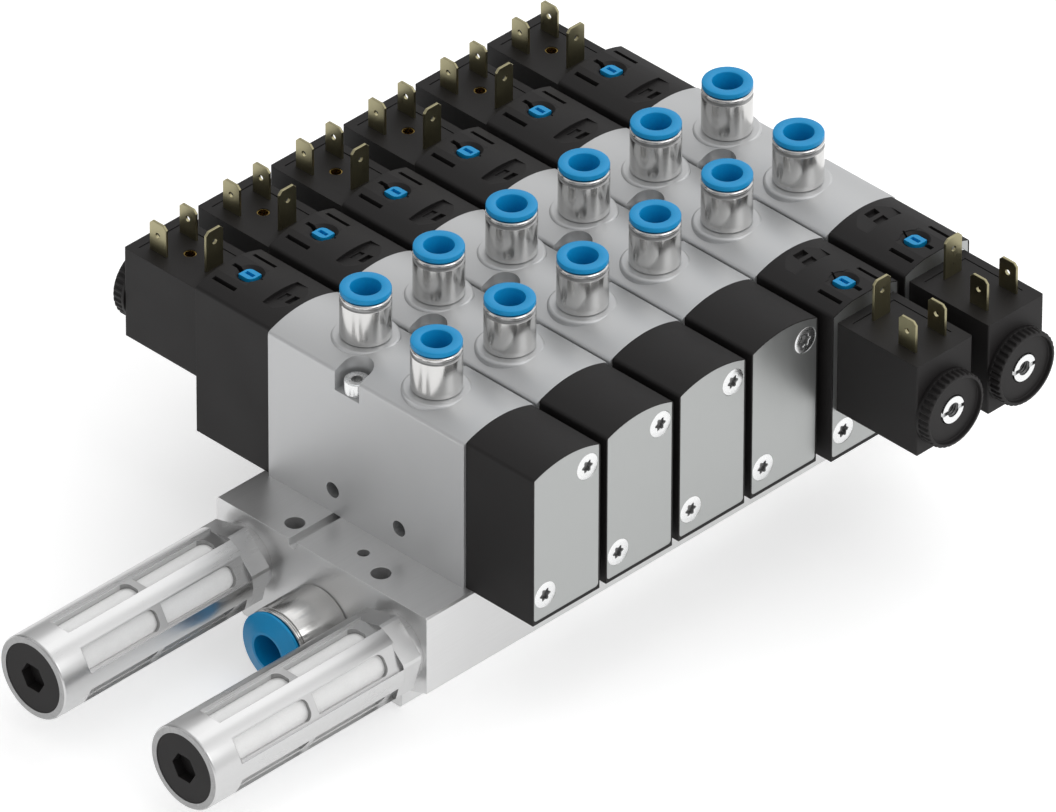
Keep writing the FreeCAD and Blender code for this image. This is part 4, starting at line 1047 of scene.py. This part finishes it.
def floor_material():
    """Pale floor that keeps the object's shadow, brightened a little where it is only seen."""
    material, tree, shader = new_material("studio_floor")
    shade = studio().floor
    shader.inputs["Base Color"].default_value = (*shade, 1)
    shader.inputs["Roughness"].default_value = 0.9
    shader.inputs["Specular IOR Level"].default_value = 0.0
    output = next(node for node in tree.nodes if node.type == "OUTPUT_MATERIAL")
    glow = tree.nodes.new("ShaderNodeEmission")
    total = tree.nodes.new("ShaderNodeAddShader")
    strength = tree.nodes.new("ShaderNodeMath")
    strength.operation = "MULTIPLY"
    strength.inputs[1].default_value = studio().floor_glow
    tree.links.new(seen_ray(tree), strength.inputs[0])
    tree.links.new(strength.outputs[0], glow.inputs["Strength"])
    tree.links.new(shader.outputs["BSDF"], total.inputs[0])
    tree.links.new(glow.outputs["Emission"], total.inputs[1])
    tree.links.new(total.outputs["Shader"], output.inputs["Surface"])
    return material


class ISLAND_OT_stage(IslandOperator):
    """Floor, sky, lamps and the camera at the photograph's angle"""
    bl_idname = "island.stage"
    bl_label = "Studio"

    def make(self):
        self.add_floor()
        self.add_sky()
        values = studio()
        target = (0.0, 0.0, 0.04)
        add_lamp("key_lamp", (0.2, -1.6, 1.3), target, values.key, 1.4, 1.0)
        add_lamp("top_lamp", (1.1, 0.3, 1.5), target, values.top, 1.4, 1.4)
        add_lamp("side_lamp", (-1.2, 0.9, 0.85), target, values.side, 1.2, 1.0)
        add_screen("left_screen", (-0.9, 1.3, 0.4), target, 0.35, 1.0, 0.05)
        self.add_camera()

    def add_floor(self):
        form = bmesh.new()
        bmesh.ops.create_grid(form, x_segments=1, y_segments=1, size=12.0)
        mesh = bpy.data.meshes.new("studio_floor")
        form.to_mesh(mesh)
        form.free()
        mesh.materials.append(floor_material())
        floor = bpy.data.objects.new("studio_floor", mesh)
        floor.location = (0, 0, CAD_BOX[0][2] - 0.2 * MM)
        bpy.context.scene.collection.objects.link(floor)

    def add_sky(self):
        world = bpy.data.worlds.new("studio_sky")
        world.use_nodes = True
        tree = world.node_tree
        background = tree.nodes["Background"]
        background.inputs["Color"].default_value = (1, 1, 1, 1)
        direction = tree.nodes.new("ShaderNodeTexCoord")
        toward = tree.nodes.new("ShaderNodeVectorMath")
        toward.operation = "DOT_PRODUCT"
        toward.inputs[1].default_value = Vector(studio().sky_from).normalized()
        tree.links.new(direction.outputs["Generated"], toward.inputs[0])
        soft = tree.nodes.new("ShaderNodeMapRange")
        soft.inputs["From Min"].default_value = -0.15
        soft.inputs["To Min"].default_value = studio().sky_low
        soft.inputs["To Max"].default_value = studio().sky_high
        tree.links.new(toward.outputs["Value"], soft.inputs["Value"])
        path = tree.nodes.new("ShaderNodeLightPath")
        strength = tree.nodes.new("ShaderNodeMix")
        strength.inputs["B"].default_value = 1.0
        tree.links.new(path.outputs["Is Camera Ray"], strength.inputs["Factor"])
        tree.links.new(soft.outputs["Result"], strength.inputs["A"])
        tree.links.new(strength.outputs["Result"], background.inputs["Strength"])
        bpy.context.scene.world = world

    def add_camera(self):
        values = studio()
        heading, tilt, roll = values.heading, values.tilt, values.roll
        level = Vector((math.cos(heading), math.sin(heading), 0))
        forward = level * math.cos(tilt) - UP * math.sin(tilt)
        right = forward.cross(UP).normalized()
        up = right.cross(forward)
        turned_right = right * math.cos(roll) + up * math.sin(roll)
        turned_up = up * math.cos(roll) - right * math.sin(roll)
        data = bpy.data.cameras.new("photo_camera")
        data.lens_unit = "MILLIMETERS"
        data.sensor_width = 36.0
        data.lens = values.focal
        data.clip_start = 0.1
        data.clip_end = 60.0
        camera = bpy.data.objects.new("photo_camera", data)
        turn = Matrix((turned_right, turned_up, -forward)).transposed().to_4x4()
        camera.matrix_world = Matrix.Translation(values.camera_place) @ turn
        bpy.context.scene.collection.objects.link(camera)
        bpy.context.scene.camera = camera
        bpy.context.scene.view_settings.view_transform = "Standard"


class ISLAND_PT_panel(bpy.types.Panel):
    """Lists the island's pieces, sizes, colours and studio"""
    bl_idname = "ISLAND_PT_panel"
    bl_label = "Valve island"
    bl_space_type = "VIEW_3D"
    bl_region_type = "UI"
    bl_category = "Valve island"

    def draw(self, context):
        layout = self.layout
        for operator in OPERATORS:
            layout.operator(operator.bl_idname)
        for group in (sizes(), colours(), studio()):
            box = layout.box()
            for name in group.__annotations__:
                box.prop(group, name)


OPERATORS = (ISLAND_OT_stage, ISLAND_OT_rail, ISLAND_OT_valve_bodies, ISLAND_OT_valve_screws,
             ISLAND_OT_inner_parts, ISLAND_OT_mouldings, ISLAND_OT_end_plates,
             ISLAND_OT_plate_screws, ISLAND_OT_coil_nuts, ISLAND_OT_armature_tubes,
             ISLAND_OT_contacts, ISLAND_OT_fittings, ISLAND_OT_release_rings, ISLAND_OT_supply,
             ISLAND_OT_buttons, ISLAND_OT_silencers, ISLAND_OT_port_plugs)
CLASSES = (IslandSizes, IslandColours, IslandStudio) + OPERATORS + (ISLAND_PT_panel,)


def register():
    for item in CLASSES:
        bpy.utils.register_class(item)
    bpy.types.Scene.island_sizes = PointerProperty(type=IslandSizes)
    bpy.types.Scene.island_colours = PointerProperty(type=IslandColours)
    bpy.types.Scene.island_studio = PointerProperty(type=IslandStudio)


def unregister():
    del bpy.types.Scene.island_studio
    del bpy.types.Scene.island_colours
    del bpy.types.Scene.island_sizes
    for item in reversed(CLASSES):
        bpy.utils.unregister_class(item)


def main():
    """Dress the island piece by piece."""
    register()
    for operator in OPERATORS:
        group, name = operator.bl_idname.split(".")
        getattr(getattr(bpy.ops, group), name)()


if __name__ == "__main__":
    main()
